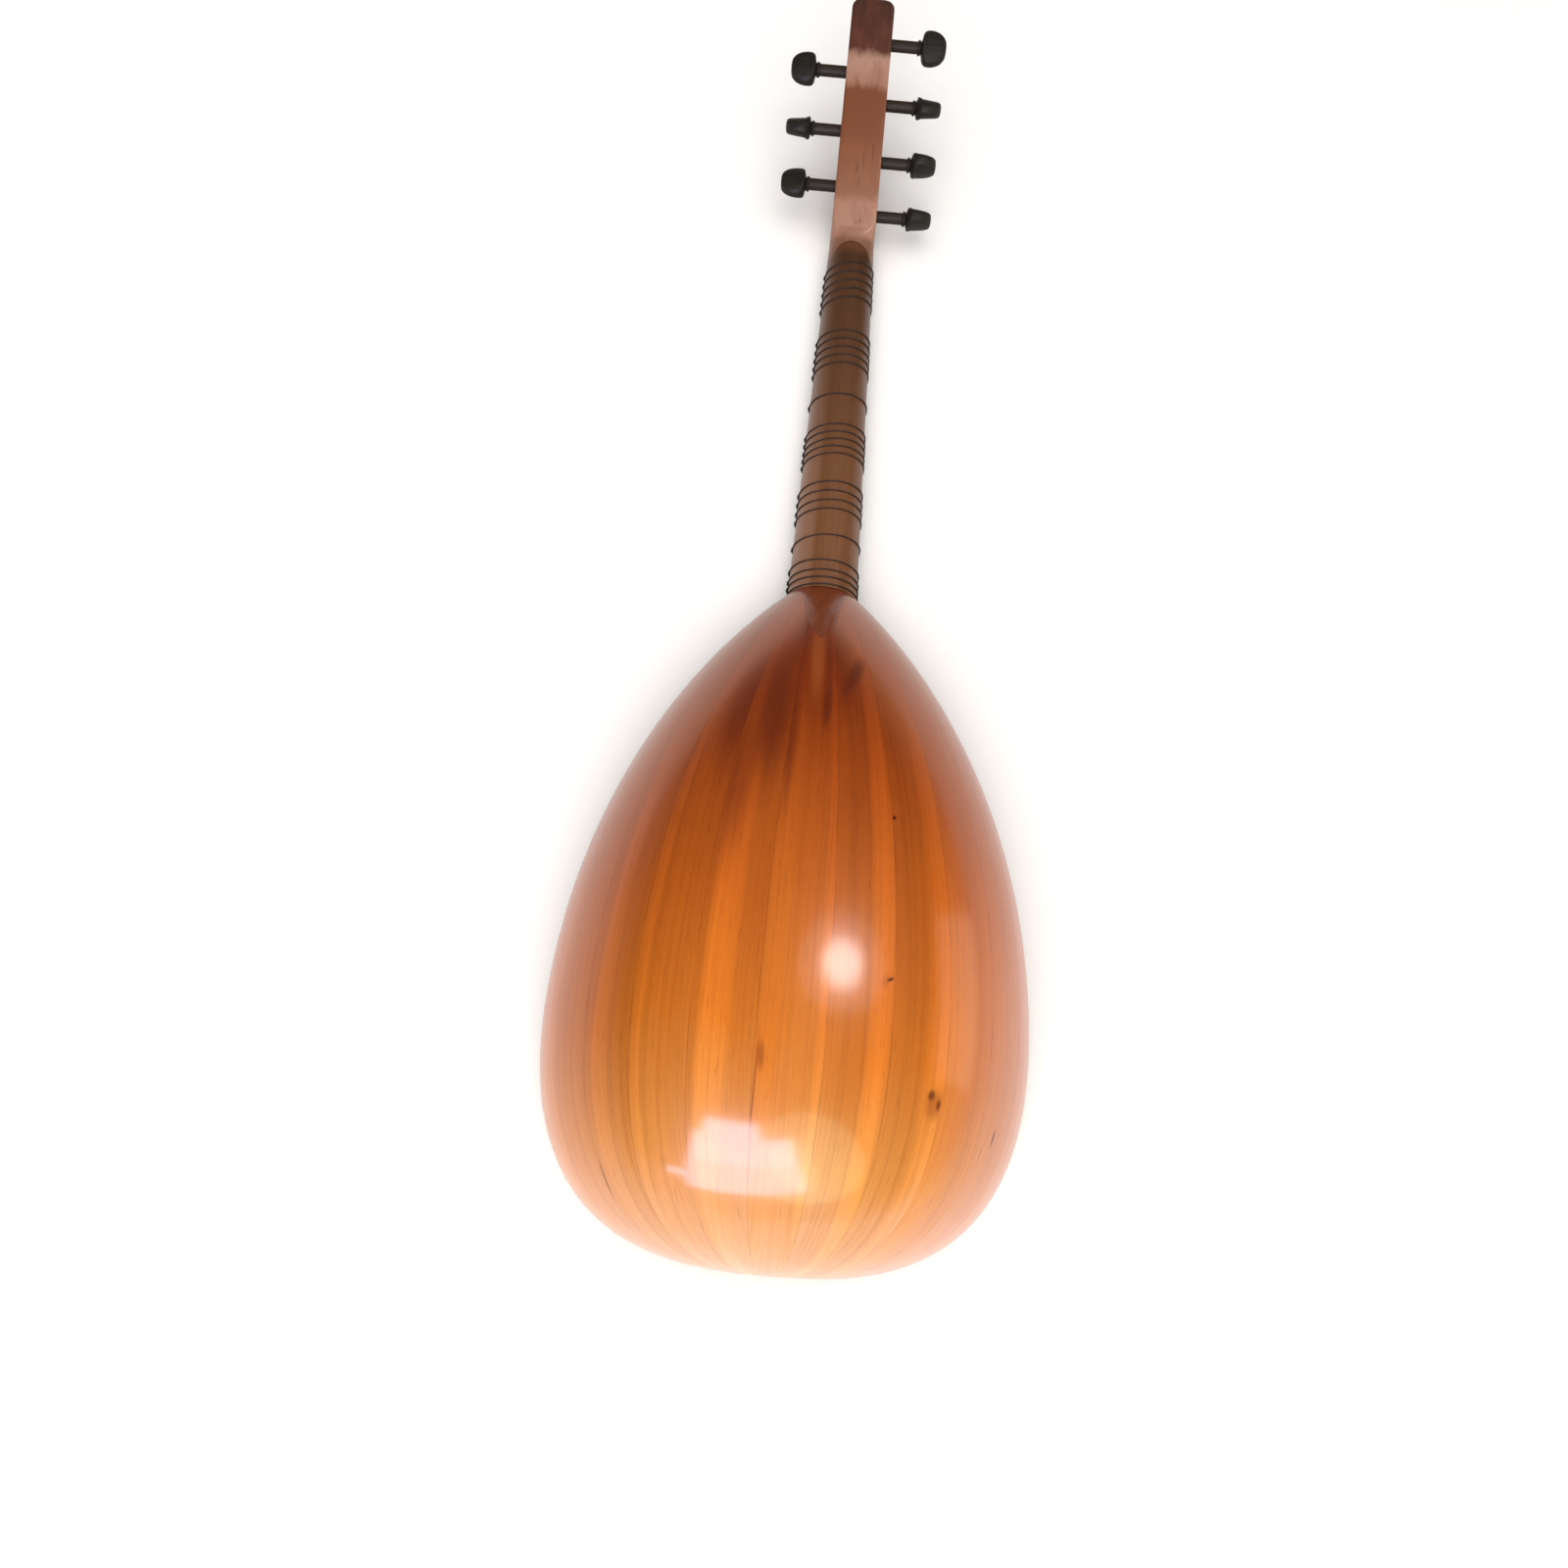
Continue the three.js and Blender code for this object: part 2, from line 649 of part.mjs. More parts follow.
function pegboxEnd() {
  const start = PEGBOX_LENGTH - END_BLOCK_LENGTH;
  return plate(roundedEnd(start), -CHEEK_END_DEPTH, -PEGBOX_BACK_THICKNESS - GAP);
}

// One turned piece: the tapered shaft, a collar and a flat-sided knob, as places and half sizes.
function peg() {
  const knob = KNOB_START;
  const sections = [
    [-PEGBOX_END_HALF_WIDTH, 3.5, 3.5],
    [0.6 - PEGBOX_END_HALF_WIDTH, SHAFT_FAR_RADIUS, SHAFT_FAR_RADIUS],
    [PEGBOX_HALF_WIDTH - CHEEK_THICKNESS - 1, SHAFT_RADIUS, SHAFT_RADIUS],
    [knob - 3, SHAFT_RADIUS, SHAFT_RADIUS],
    [knob - 2.6, 6, 6],
    [knob - 0.8, 6, 6],
    [knob, 4.6, 4.6],
    [knob + 1.5, 9.4, 7.9],
    [knob + 4.5, 12.8, 8.4],
    [knob + 9, 14, 8],
    [knob + 13.5, 13.4, 7.3],
    [knob + 17.5, 10.8, 6.5],
    [knob + KNOB_LENGTH, 5.5, 4.4],
  ];
  return loft(sections.map(([x, broad, thin]) => Array.from({ length: PEG_SIDES }, (_, k) => {
    const angle = (2 * Math.PI * k) / PEG_SIDES;
    return new THREE.Vector3(x, broad * Math.cos(angle), thin * Math.sin(angle));
  })));
}

addPiece(instrument, 'pegbox_back', pegboxBack(), MATERIALS.pegbox);
addPiece(pegbox, 'pegbox_cheek_bass', cheek(1), MATERIALS.pegbox);
addPiece(pegbox, 'pegbox_cheek_treble', cheek(-1), MATERIALS.pegbox);
addPiece(pegbox, 'pegbox_end', pegboxEnd(), MATERIALS.pegbox);
for (let i = 0; i < PEG_COUNT; i += 1) {
  const turned = addPiece(pegbox, `peg_${i + 1}`, peg(), MATERIALS.peg);
  turned.position.set(0, pegPlace(i), -PEG_DEPTH);
  turned.rotation.order = 'ZYX';
  turned.rotation.x = THREE.MathUtils.degToRad(PEG_TURNS[i]);
  turned.rotation.z = pegSide(i) > 0 ? 0 : Math.PI;
}

// ---- strings: straight from the bridge over the nut, then wound round their pegs ----

function stringRoute(index) {
  const x = STRING_AT_NUT[index];
  const wound = new THREE.Vector3(WINDING_AT[index], pegPlace(STRING_PEGS[index]), -PEG_DEPTH);
  const radius = SHAFT_RADIUS + GAP + 0.1 + STRING_RADII[index];
  const points = [
    new THREE.Vector3(x * BRIDGE_SPREAD, -SCALE_LENGTH - BRIDGE_LENGTH - 3, STRING_HEIGHT_AT_BRIDGE),
    new THREE.Vector3(x * BRIDGE_SPREAD, -SCALE_LENGTH + 1, STRING_HEIGHT_AT_BRIDGE),
    new THREE.Vector3(x, -NUT_LENGTH / 2 - 1, STRING_HEIGHT_AT_NUT),
    new THREE.Vector3(x, NUT_LENGTH / 2 + 1.2, STRING_HEIGHT_AT_NUT),
  ];
  const turns = 1.3;
  const steps = 13;
  const pitch = wound.x < 0 ? 1.5 : -1.5;
  for (let k = 0; k <= steps; k += 1) {
    const share = k / steps;
    const angle = 2 * Math.PI * turns * share;
    const shift = pitch * turns * share;
    const turn = new THREE.Vector3(shift, Math.sin(angle) * radius, -Math.cos(angle) * radius);
    const point = turn.add(wound).applyAxisAngle(new THREE.Vector3(1, 0, 0), PEGBOX_TILT);
    point.z += NECK_BACK_AT_NUT;
    points.push(point);
  }
  return points;
}

STRING_RADII.forEach((radius, i) => {
  addPiece(instrument, `string_${i + 1}`, tube(stringRoute(i), radius, 6), MATERIALS.string);
});

export default lute;
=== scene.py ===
"""The looks of a lavta, a fretted lute of the oud family, lying face down on a pale floor.

Lengths are metres in the part's own frame: +Z up, +Y from the tail to the head, +X the bass side.
"along" is the distance from the nut towards the tail. On the pegbox, "reach" is the distance from
the nut along its tilted back, and "under" is how far a point lies below that back.
"""

import json
from math import acos, asin, cos, pi, radians, sin

import bmesh
import bpy
import numpy as np
from mathutils import Matrix, Quaternion, Vector


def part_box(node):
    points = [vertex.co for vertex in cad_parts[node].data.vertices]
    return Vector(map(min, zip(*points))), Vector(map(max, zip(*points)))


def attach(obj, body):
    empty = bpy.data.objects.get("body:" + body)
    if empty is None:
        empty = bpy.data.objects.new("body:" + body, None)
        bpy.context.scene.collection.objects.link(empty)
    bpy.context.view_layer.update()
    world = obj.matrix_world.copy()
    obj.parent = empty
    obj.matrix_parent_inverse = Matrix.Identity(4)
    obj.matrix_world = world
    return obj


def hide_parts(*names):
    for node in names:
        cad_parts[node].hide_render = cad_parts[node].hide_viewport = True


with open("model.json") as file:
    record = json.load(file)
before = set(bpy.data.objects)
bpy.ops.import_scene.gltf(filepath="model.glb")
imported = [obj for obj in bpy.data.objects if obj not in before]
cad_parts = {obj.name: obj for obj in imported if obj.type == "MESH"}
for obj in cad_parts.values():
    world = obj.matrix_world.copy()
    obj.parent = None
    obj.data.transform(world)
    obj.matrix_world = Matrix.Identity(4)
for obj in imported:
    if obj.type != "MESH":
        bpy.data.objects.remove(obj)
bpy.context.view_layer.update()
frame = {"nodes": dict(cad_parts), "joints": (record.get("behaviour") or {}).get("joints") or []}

# ---- driving dimensions ----

NUT_Y = sum(corner.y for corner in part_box("nut")) / 2
SCALE_LENGTH = 0.66
GAP = 0.0003

BODY_START = 0.3323
BODY_HALF_WIDTH = 0.1485
WIDEST_AT = 0.6336
BODY_END = 0.7752
SHOULDER_ANGLE = 0.79
SHOULDER_PULL = 0.0889
WAIST_PULL = 0.1305
HIP_PULL = 0.1421
TAIL_PULL = 0.0485
DEPTH_AT_NECK = 0.83
DEPTH_AT_TAIL = 0.94
RIB_COUNT = 13
RIB_THICKNESS = 0.0026
RIB_END = 1.86
RIB_FLATNESS = 0.03
JOINT_HALF_GAP = 0.00003

SOUNDBOARD_FRONT = 0.01
SOUNDBOARD_THICKNESS = 0.002
SOUNDBOARD_BACK = SOUNDBOARD_FRONT + SOUNDBOARD_THICKNESS
RIM = SOUNDBOARD_BACK + GAP
BINDING_WIDTH = 0.0027
HOLE_AT = 0.466
HOLE_RADIUS = 0.03
# The rosette's rings of openings: how many, distance from its middle, half sizes, turn as a share of a step.
ROSETTE_RINGS = [
    (8, 0.0062, 0.004, 0.0016, 0.0),
    (8, 0.0125, 0.0022, 0.0015, 0.5),
    (16, 0.0178, 0.003, 0.0017, 0.5),
    (16, 0.0238, 0.0016, 0.0022, 0.0),
    (32, 0.0277, 0.0007, 0.001, 0.5),
]
ROSETTE_INSET = 0.0003
ROSETTE_THICKNESS = 0.0015

NECK_HALF_AT_NUT = 0.0177
NECK_HALF_AT_BODY = 0.0247
NECK_BACK_AT_NUT = 0.0245
NECK_BACK_AT_BODY = 0.0332
FINGERBOARD_FRONT = 0.005
FINGERBOARD_THICKNESS = 0.003
NECK_FRONT = FINGERBOARD_FRONT + FINGERBOARD_THICKNESS + GAP
NECK_SIDE_TOP = NECK_FRONT + 0.0025
NECK_CORNER = 0.0005
NUT_LENGTH = 0.005
SLOT_CLEARANCE = 0.00012
TONGUE_TOP = 0.014
TONGUE_FEET = 0.027
TONGUE_HALF_WIDTH = 0.0155
HEEL_LENGTH = 0.062
HEEL_HALF_WIDTH = 0.012
HEEL_FLARE = 0.012
HEEL_CLEARANCE = 0.00012
HEEL_EDGE_DROP = 0.0002

PEGBOX_TILT = 0.35
PEGBOX_LENGTH = 0.1827
PEGBOX_HALF_WIDTH = 0.0175
PEGBOX_END_HALF_WIDTH = 0.0169
PEGBOX_BACK_THICKNESS = 0.0035
ROOT_TURN = 0.008
CHEEK_THICKNESS = 0.0045
CHEEK_GAP = 0.0001
CHEEK_START = 0.0026
CHEEK_DEPTH = 0.0175
CHEEK_END_DEPTH = 0.0155
END_BLOCK_LENGTH = 0.008
END_CORNER = 0.007

PEG_TURNS = [101, 25, 95, 58, 122, 10, 0]
PEG_DEPTH = 0.01
SHAFT_RADIUS = 0.00445
SHAFT_FAR_RADIUS = 0.0038
PEG_CLEARANCE = 0.00012
KNOB_START = 0.0412
KNOB_FLATNESS = 0.82

STRING_RADII = [0.0003, 0.0003, 0.00038, 0.00038, 0.00048, 0.00048, 0.0006]
STRING_AT_NUT = [-0.012, -0.0088, -0.0056, -0.0024, 0.0024, 0.0056, 0.012]
STRING_PEGS = [1, 3, 5, 6, 4, 2, 0]
WINDING_AT = [-0.0095, -0.008, -0.005, 0.0, 0.0045, 0.007, 0.0095]
WINDING_CLEARANCE = 0.0001
BRIDGE_SPREAD = 2.5
STRING_HEIGHT_AT_NUT = 0.0016
STRING_HEIGHT_AT_BRIDGE = 0.0024
BRIDGE_HALF_WIDTH = 0.058
BRIDGE_LENGTH = 0.014
STRING_HOLE_RADIUS = 0.0011

FRET_RADIUS = 0.00045
FRET_CENTS = [
    [100, 125, 150, 175, 200],
    [300, 325, 350, 375, 400],
    [500],
    [600, 625, 650, 675, 700],
    [800, 833, 867, 900],
    [1000],
    [1100, 1140, 1170, 1200],
]
FRET_LEANS = [0.16, 0.085, 0.07, 0.09, 0.06, 0.06, 0.015]

SHOULDER_OUT = SHOULDER_PULL * sin(SHOULDER_ANGLE)
SHOULDER_DOWN = SHOULDER_PULL * cos(SHOULDER_ANGLE)
SHOULDER = [
    (NECK_HALF_AT_BODY, BODY_START),
    (NECK_HALF_AT_BODY + SHOULDER_OUT, BODY_START + SHOULDER_DOWN),
    (BODY_HALF_WIDTH, WIDEST_AT - WAIST_PULL),
    (BODY_HALF_WIDTH, WIDEST_AT),
]
HIP = [
    (BODY_HALF_WIDTH, WIDEST_AT),
    (BODY_HALF_WIDTH, WIDEST_AT + HIP_PULL),
    (TAIL_PULL, BODY_END),
    (0, BODY_END),
]

rng = np.random.default_rng(7)


# ---- meshes ----

LINE_SIDES = 8
# How far a cut reaches past the wood on both sides, and half of it for the thin rosette.
BEYOND = 0.002
# The frame's axes that run across, along and through a piece of wood.
LENGTHWISE = [0, 1, 2]
CROSSWISE = [1, 0, 2]


def add_object(name, data):
    made = bpy.data.objects.new(name, data)
    bpy.context.scene.collection.objects.link(made)
    return made


def shade(data, sharp):
    data.shade_smooth()
    data.set_sharp_from_angle(angle=radians(sharp))


def new_piece(name, points, faces, sharp=38):
    data = bpy.data.meshes.new(name)
    data.from_pydata(np.asarray(points, float).reshape(-1, 3).tolist(), [], faces)
    made = bmesh.new()
    made.from_mesh(data)
    bmesh.ops.recalc_face_normals(made, faces=made.faces)
    made.to_mesh(data)
    made.free()
    shade(data, sharp)
    return add_object(name, data)


def cap_faces(count):
    """A closed end as quads between the points that lie opposite each other in a ring."""
    return [(i, i + 1, count - 2 - i, count - 1 - i) for i in range(count // 2 - 1)]


def side_faces(rows, count, closed=False):
    """Quads between neighbouring rings; closed also joins the last ring to the first."""
    faces = []
    for row in range(rows if closed else rows - 1):
        low = row * count
        high = (row + 1) % rows * count
        for i in range(count):
            j = (i + 1) % count
            faces.append((low + i, low + j, high + j, high + i))
    return faces


def loft_faces(rows, count):
    faces = side_faces(rows, count)
    last = (rows - 1) * count
    for cap in cap_faces(count):
        faces.append(cap[::-1])
        faces.append(tuple(last + i for i in cap))
    return faces


def loft(name, rings, sharp=38):
    """A closed body through rings of points, each ring having the same even number of them."""
    rings = np.asarray(rings, float)
    return new_piece(name, rings, loft_faces(rings.shape[0], rings.shape[1]), sharp)


def join_bodies(name, bodies, sharp):
    """Several bodies in one piece, each given by its rings and its faces."""
    points = []
    faces = []
    for rings, own_faces in bodies:
        first = len(points)
        points += np.asarray(rings, float).reshape(-1, 3).tolist()
        faces += [tuple(first + i for i in face) for face in own_faces]
    return new_piece(name, points, faces, sharp)


def many_lofts(name, bodies, sharp=38):
    """Several closed bodies in one piece."""
    return join_bodies(name, [(rings, loft_faces(len(rings), len(rings[0]))) for rings in bodies], sharp)


def circle(centre, radius, side, up, count):
    """Points round a centre, in the plane of two directions."""
    turns = (np.arange(count) * 2 * pi / count)[:, None]
    return centre + radius * (np.cos(turns) * side + np.sin(turns) * up)


def tube_rings(path, radius):
    """Rings round an open path."""
    path = np.asarray(path, float)
    ahead = np.gradient(path, axis=0)
    ahead /= np.linalg.norm(ahead, axis=1, keepdims=True)
    side = np.array([1.0, 0.0, 0.0]) if abs(ahead[0][0]) < 0.9 else np.array([0.0, 0.0, 1.0])
    rings = []
    for point, direction in zip(path, ahead):
        side = side - direction * side.dot(direction)
        side = side / np.linalg.norm(side)
        rings.append(circle(point, radius, side, np.cross(direction, side), LINE_SIDES))
    return np.array(rings)


def extrude(name, outline_points, low, high, place):
    """A flat outline made into a board; place turns (u, v, height) into a point of the frame."""
    flat = np.asarray(outline_points, float)
    count = len(flat)
    bottom = [place(u, v, low) for u, v in flat]
    top = [place(u, v, high) for u, v in flat]
    faces = [tuple(range(count))[::-1], tuple(range(count, 2 * count))]
    faces += [(i, (i + 1) % count, count + (i + 1) % count, count + i) for i in range(count)]
    return new_piece(name, bottom + top, faces)


def soften(piece, width, segments=3, angle=32):
    """Rounds the edges that are sharper than an angle in degrees."""
    bevel = piece.modifiers.new("rounded edges", "BEVEL")
    bevel.width = width
    bevel.segments = segments
    bevel.limit_method = "ANGLE"
    bevel.angle_limit = radians(angle)
    apply_modifiers(piece)


def cut_openings(piece, outlines, low, high, place):
    """Cuts straight openings; place turns each flat outline's points, with a height, into the frame."""
    bodies = [[[place(u, v, height) for u, v in ring] for height in (low, high)] for ring in outlines]
    cutter = many_lofts("openings", bodies)
    step = piece.modifiers.new("openings", "BOOLEAN")
    step.operation = "DIFFERENCE"
    step.solver = "EXACT"
    step.object = cutter
    apply_modifiers(piece)
    bpy.data.objects.remove(cutter)


def apply_modifiers(piece):
    bpy.context.view_layer.update()
    graph = bpy.context.evaluated_depsgraph_get()
    data = bpy.data.meshes.new_from_object(piece.evaluated_get(graph))
    piece.modifiers.clear()
    piece.data = data
    shade(data, 38)


def positions(piece):
    values = np.zeros(len(piece.data.vertices) * 3, np.float32)
    piece.data.vertices.foreach_get("co", values)
    return values.reshape(-1, 3).astype(float)


def write_vectors(piece, name, values):
    layer = piece.data.attributes.new(name, "FLOAT_VECTOR", "POINT")
    layer.data.foreach_set("vector", np.asarray(values, np.float32).ravel())


def settle(piece, slot, material, *nodes, body="lute", axes=None):
    """Makes a finished piece part of the object: its body, material and the nodes it replaces; the slot
    argument is not used.

    The wood's own directions are stored with it when axes gives the frame's axes that run across,
    along and through it.
    """
    if axes:
        write_vectors(piece, "grain", positions(piece)[:, axes])
    piece.data.materials.clear()
    piece.data.materials.append(material)
    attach(piece, body)
    if nodes:
        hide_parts(*nodes)
    return piece


def smooth_curve(points, per):
    """A smooth line through points: a Catmull-Rom curve."""
    points = np.asarray(points, float)
    padded = np.concatenate([[2 * points[0] - points[1]], points, [2 * points[-1] - points[-2]]])
    curve = []
    for i in range(1, len(padded) - 2):
        a, b, c, d = padded[i - 1:i + 3]
        for t in np.arange(per) / per:
            bend = (2 * a - 5 * b + 4 * c - d) * t**2 + (3 * b - a - 3 * c + d) * t**3
            curve.append(0.5 * (2 * b + (c - a) * t + bend))
    curve.append(points[-1])
    return np.array(curve)


# ---- the bowl's surface ----

def bezier(points, t):
    p = np.asarray(points, float)
    t = np.asarray(t, float)[..., None]
    u = 1 - t
    return u**3 * p[0] + 3 * u * u * t * p[1] + 3 * u * t * t * p[2] + t**3 * p[3]


def outline(q):
    """Half width and distance along of the bowl's edge, for q from 0 at the neck to 2 at the tail."""
    q = np.asarray(q, float)
    first = bezier(SHOULDER, np.clip(q, 0, 1))
    second = bezier(HIP, np.clip(q - 1, 0, 1))
    return np.where((q <= 1)[..., None], first, second)


def bowl(angle, q):
    edge = outline(q)
    share = (edge[..., 1] - BODY_START) / (BODY_END - BODY_START)
    depth = DEPTH_AT_NECK + (DEPTH_AT_TAIL - DEPTH_AT_NECK) * share
    across = edge[..., 0] * np.cos(angle)
    height = RIM + depth * edge[..., 0] * np.sin(angle)
    return np.stack([across, NUT_Y - edge[..., 1], height], -1)


def bowl_inwards(angle, q):
    step = 1e-4
    across = bowl(angle + step, q) - bowl(angle - step, q)
    ahead = bowl(angle, q + step) - bowl(angle, q - step)
    normal = np.cross(ahead, across)
    return normal / np.linalg.norm(normal, axis=-1, keepdims=True)


def solve(low, high, is_low):
    """Halves the range until it holds only the place where is_low ends."""
    for _ in range(40):
        middle = (low + high) / 2
        if is_low(middle):
            low = middle
        else:
            high = middle
    return high


def parameter_at(along):
    return solve(0, 2, lambda q: outline(q)[1] < along)


def heel_half_width(along):
    """The wedge flares towards the neck, with hollow sides."""
    share = np.clip((along - BODY_START) / HEEL_LENGTH, 0, 1)
    return HEEL_HALF_WIDTH * (1 - share**4) + HEEL_FLARE * (1 - share)**7


def rib_start(angle):
    """Where a line of the bowl at this angle leaves the heel wedge."""
    first = 0.002

    def inside(q):
        edge = outline(q)
        return edge[0] * abs(cos(angle)) < heel_half_width(edge[1])

    return solve(first, 1, inside) if inside(first) else first


# ---- materials ----

def srgb(colour):
    """A colour written as RRGGBB, as the linear numbers that shaders use; other values stay as they are."""
    if not isinstance(colour, str):
        return colour
    parts = [int(colour[i:i + 2], 16) / 255 for i in (0, 2, 4)]
    return tuple(c / 12.92 if c <= 0.04045 else ((c + 0.055) / 1.055) ** 2.4 for c in parts) + (1.0,)


class Pen:
    """Draws the nodes of a material or a world. Colours may be written as RRGGBB."""

    def __init__(self, owner):
        self.owner = owner
        owner.use_nodes = True
        self.tree = owner.node_tree
        self.tree.nodes.clear()

    def node(self, kind, inputs, **settings):
        made = self.tree.nodes.new(kind)
        for key, value in settings.items():
            setattr(made, key, value)
        for key, value in inputs.items():
            if isinstance(value, bpy.types.NodeSocket):
                self.tree.links.new(value, made.inputs[key])
            else:
                made.inputs[key].default_value = srgb(value)
        return made

    def attribute(self, name):
        return self.node("ShaderNodeAttribute", {}, attribute_name=name).outputs["Vector"]

    def split(self, vector):
        made = self.node("ShaderNodeSeparateXYZ", {0: vector})
        return made.outputs[0], made.outputs[1], made.outputs[2]

    def join(self, x, y, z):
        return self.node("ShaderNodeCombineXYZ", {0: x, 1: y, 2: z}).outputs[0]

    def where(self):
        """The point's place in the frame."""
        return self.node("ShaderNodeTexCoord", {}).outputs["Object"]

    def stretch(self, vector, scale):
        return self.node("ShaderNodeVectorMath", {0: vector, 1: scale}, operation="MULTIPLY").outputs[0]

    def math(self, operation, a, b=0.0):
        return self.node("ShaderNodeMath", {0: a, 1: b}, operation=operation).outputs[0]

    def plus(self, a, b):
        return self.math("ADD", a, b)

    def minus(self, a, b):
        return self.math("SUBTRACT", a, b)

    def times(self, a, b):
        return self.math("MULTIPLY", a, b)

    def remap(self, value, low, high, to_low=0.0, to_high=1.0):
        inputs = {"Value": value, "From Min": low, "From Max": high, "To Min": to_low, "To Max": to_high}
        return self.node("ShaderNodeMapRange", inputs, interpolation_type="SMOOTHSTEP").outputs["Result"]

    def noise(self, vector, scale, detail=3.0, roughness=0.5):
        inputs = {"Vector": vector, "Scale": scale, "Detail": detail, "Roughness": roughness}
        return self.node("ShaderNodeTexNoise", inputs).outputs["Fac"]

    def long_noise(self, grain, across, along, detail=3.0, roughness=0.5):
        """Noise stretched along the wood; across and along are its turns per metre."""
        return self.noise(self.stretch(grain, (across, along, across)), 1.0, detail, roughness)

    def ramp(self, value, stops):
        made = self.node("ShaderNodeValToRGB", {"Fac": value})
        elements = made.color_ramp.elements
        while len(elements) < len(stops):
            elements.new(0.5)
        for element, (place, colour) in zip(elements, stops):
            element.position = place
            element.color = srgb(colour)
        return made.outputs["Color"]

    def mix(self, share, a, b, blend="MIX"):
        made = self.node("ShaderNodeMix", {0: share, 6: a, 7: b}, data_type="RGBA", blend_type=blend)
        return made.outputs[2]

    def tint(self, colour, share, strength, tone, blend="MIX"):
        """Lays a tone over a colour by a share from 0 to 1, times a strength."""
        return self.mix(self.times(share, strength), colour, tone, blend)

    def finish(self, colour, roughness, height, depth, fixed=None):
        """Ends in a principled shader; height is the bump's shape and depth its size in metres."""
        bump = self.node("ShaderNodeBump", {"Height": height, "Distance": depth, "Strength": 1.0})
        inputs = {"Base Color": colour, "Roughness": roughness, "Normal": bump.outputs[0]}
        inputs.update(fixed or {})
        shader = self.node("ShaderNodeBsdfPrincipled", inputs)
        self.node("ShaderNodeOutputMaterial", {"Surface": shader.outputs[0]})
        return self.owner


def new_pen(name):
    return Pen(bpy.data.materials.new(name))


WOOD_RELIEF = 0.00012
VARNISH = {"Coat Weight": 0.6, "Coat Roughness": 0.13, "Coat IOR": 1.42, "Specular IOR Level": 0.1}
SATIN = {"Coat Weight": 0.33, "Coat Roughness": 0.3, "Coat IOR": 1.45, "Specular IOR Level": 0.2}


def fibres(pen, grain, fineness=1.0):
    """Fine long streaks, and short dark pores lying along them, each from 0 to 1."""
    streaks = pen.long_noise(grain, 900 * fineness, 9, 4.0, 0.65)
    pores = pen.long_noise(grain, 2600 * fineness, 70, 2.0)
    return streaks, pen.remap(pores, 0.62, 0.72)


def bands(pen, grain, width):
    """Broad growth bands that wander slowly along the wood, from 0 to 1."""
    slow = pen.long_noise(grain, 30, 1.6, 2.0)
    across, along, depth = pen.split(grain)
    moved = pen.plus(across, pen.times(pen.minus(slow, 0.5), width * 3))
    moved = pen.plus(moved, pen.times(depth, 0.6))
    vector = pen.join(pen.math("DIVIDE", moved, width), pen.times(along, 0.8), 0.0)
    return pen.noise(vector, 1.0, 3.0, 0.55)


def spot(pen, grain, at, size):
    """1 inside a soft oval at a place (across, along), 0 outside."""
    away = pen.node("ShaderNodeVectorMath", {0: grain, 1: (-at[0], -at[1], 0)}, operation="ADD").outputs[0]
    away = pen.stretch(away, (1 / size[0], 1 / size[1], 0))
    away = pen.node("ShaderNodeVectorMath", {0: away}, operation="LENGTH").outputs["Value"]
    return pen.remap(away, 1.0, 0.2)


STAIN = [
    (0.0, "5e2510"),
    (0.14, "6c2709"),
    (0.25, "83340b"),
    (0.38, "9f470d"),
    (0.55, "b65a12"),
    (0.72, "c56c1a"),
    (0.86, "c9823b"),
    (1.0, "cc966a"),
]

# Lighter and darker stripes across each rib, from its +X edge (0) to its -X edge (1), as brightness.
STRIPES = {
    3: [(0, 1.05), (0.35, 0.9), (0.7, 1.0), (1, 1.12)],
    4: [(0, 1.22), (0.3, 1.12), (0.5, 0.86), (0.8, 0.8), (1, 0.92)],
    5: [(0, 0.98), (0.1, 1.26), (0.32, 1.16), (0.42, 0.86), (0.75, 0.84), (1, 0.95)],
    6: [(0, 1.22), (0.09, 1.18), (0.16, 0.94), (0.6, 1.0), (0.85, 1.06), (1, 0.98)],
    7: [(0, 0.88), (0.36, 0.93), (0.46, 1.16), (0.78, 1.3), (0.84, 1.2), (0.9, 0.92), (1, 0.9)],
    8: [(0, 0.88), (0.3, 0.9), (0.55, 0.93), (0.78, 0.86), (0.82, 1.05), (1, 0.96)],
    9: [(0, 0.74), (0.4, 0.78), (0.6, 0.96), (0.75, 1.05), (0.82, 0.78), (1, 0.74)],
    10: [(0, 0.74), (0.4, 0.84), (0.6, 0.74), (1, 0.86)],
}


def rib_stripes(index):
    if index in STRIPES:
        return STRIPES[index]
    return [(place, rng.uniform(0.85, 1.1)) for place in (0, 0.3, 0.45, 0.8, 1)]


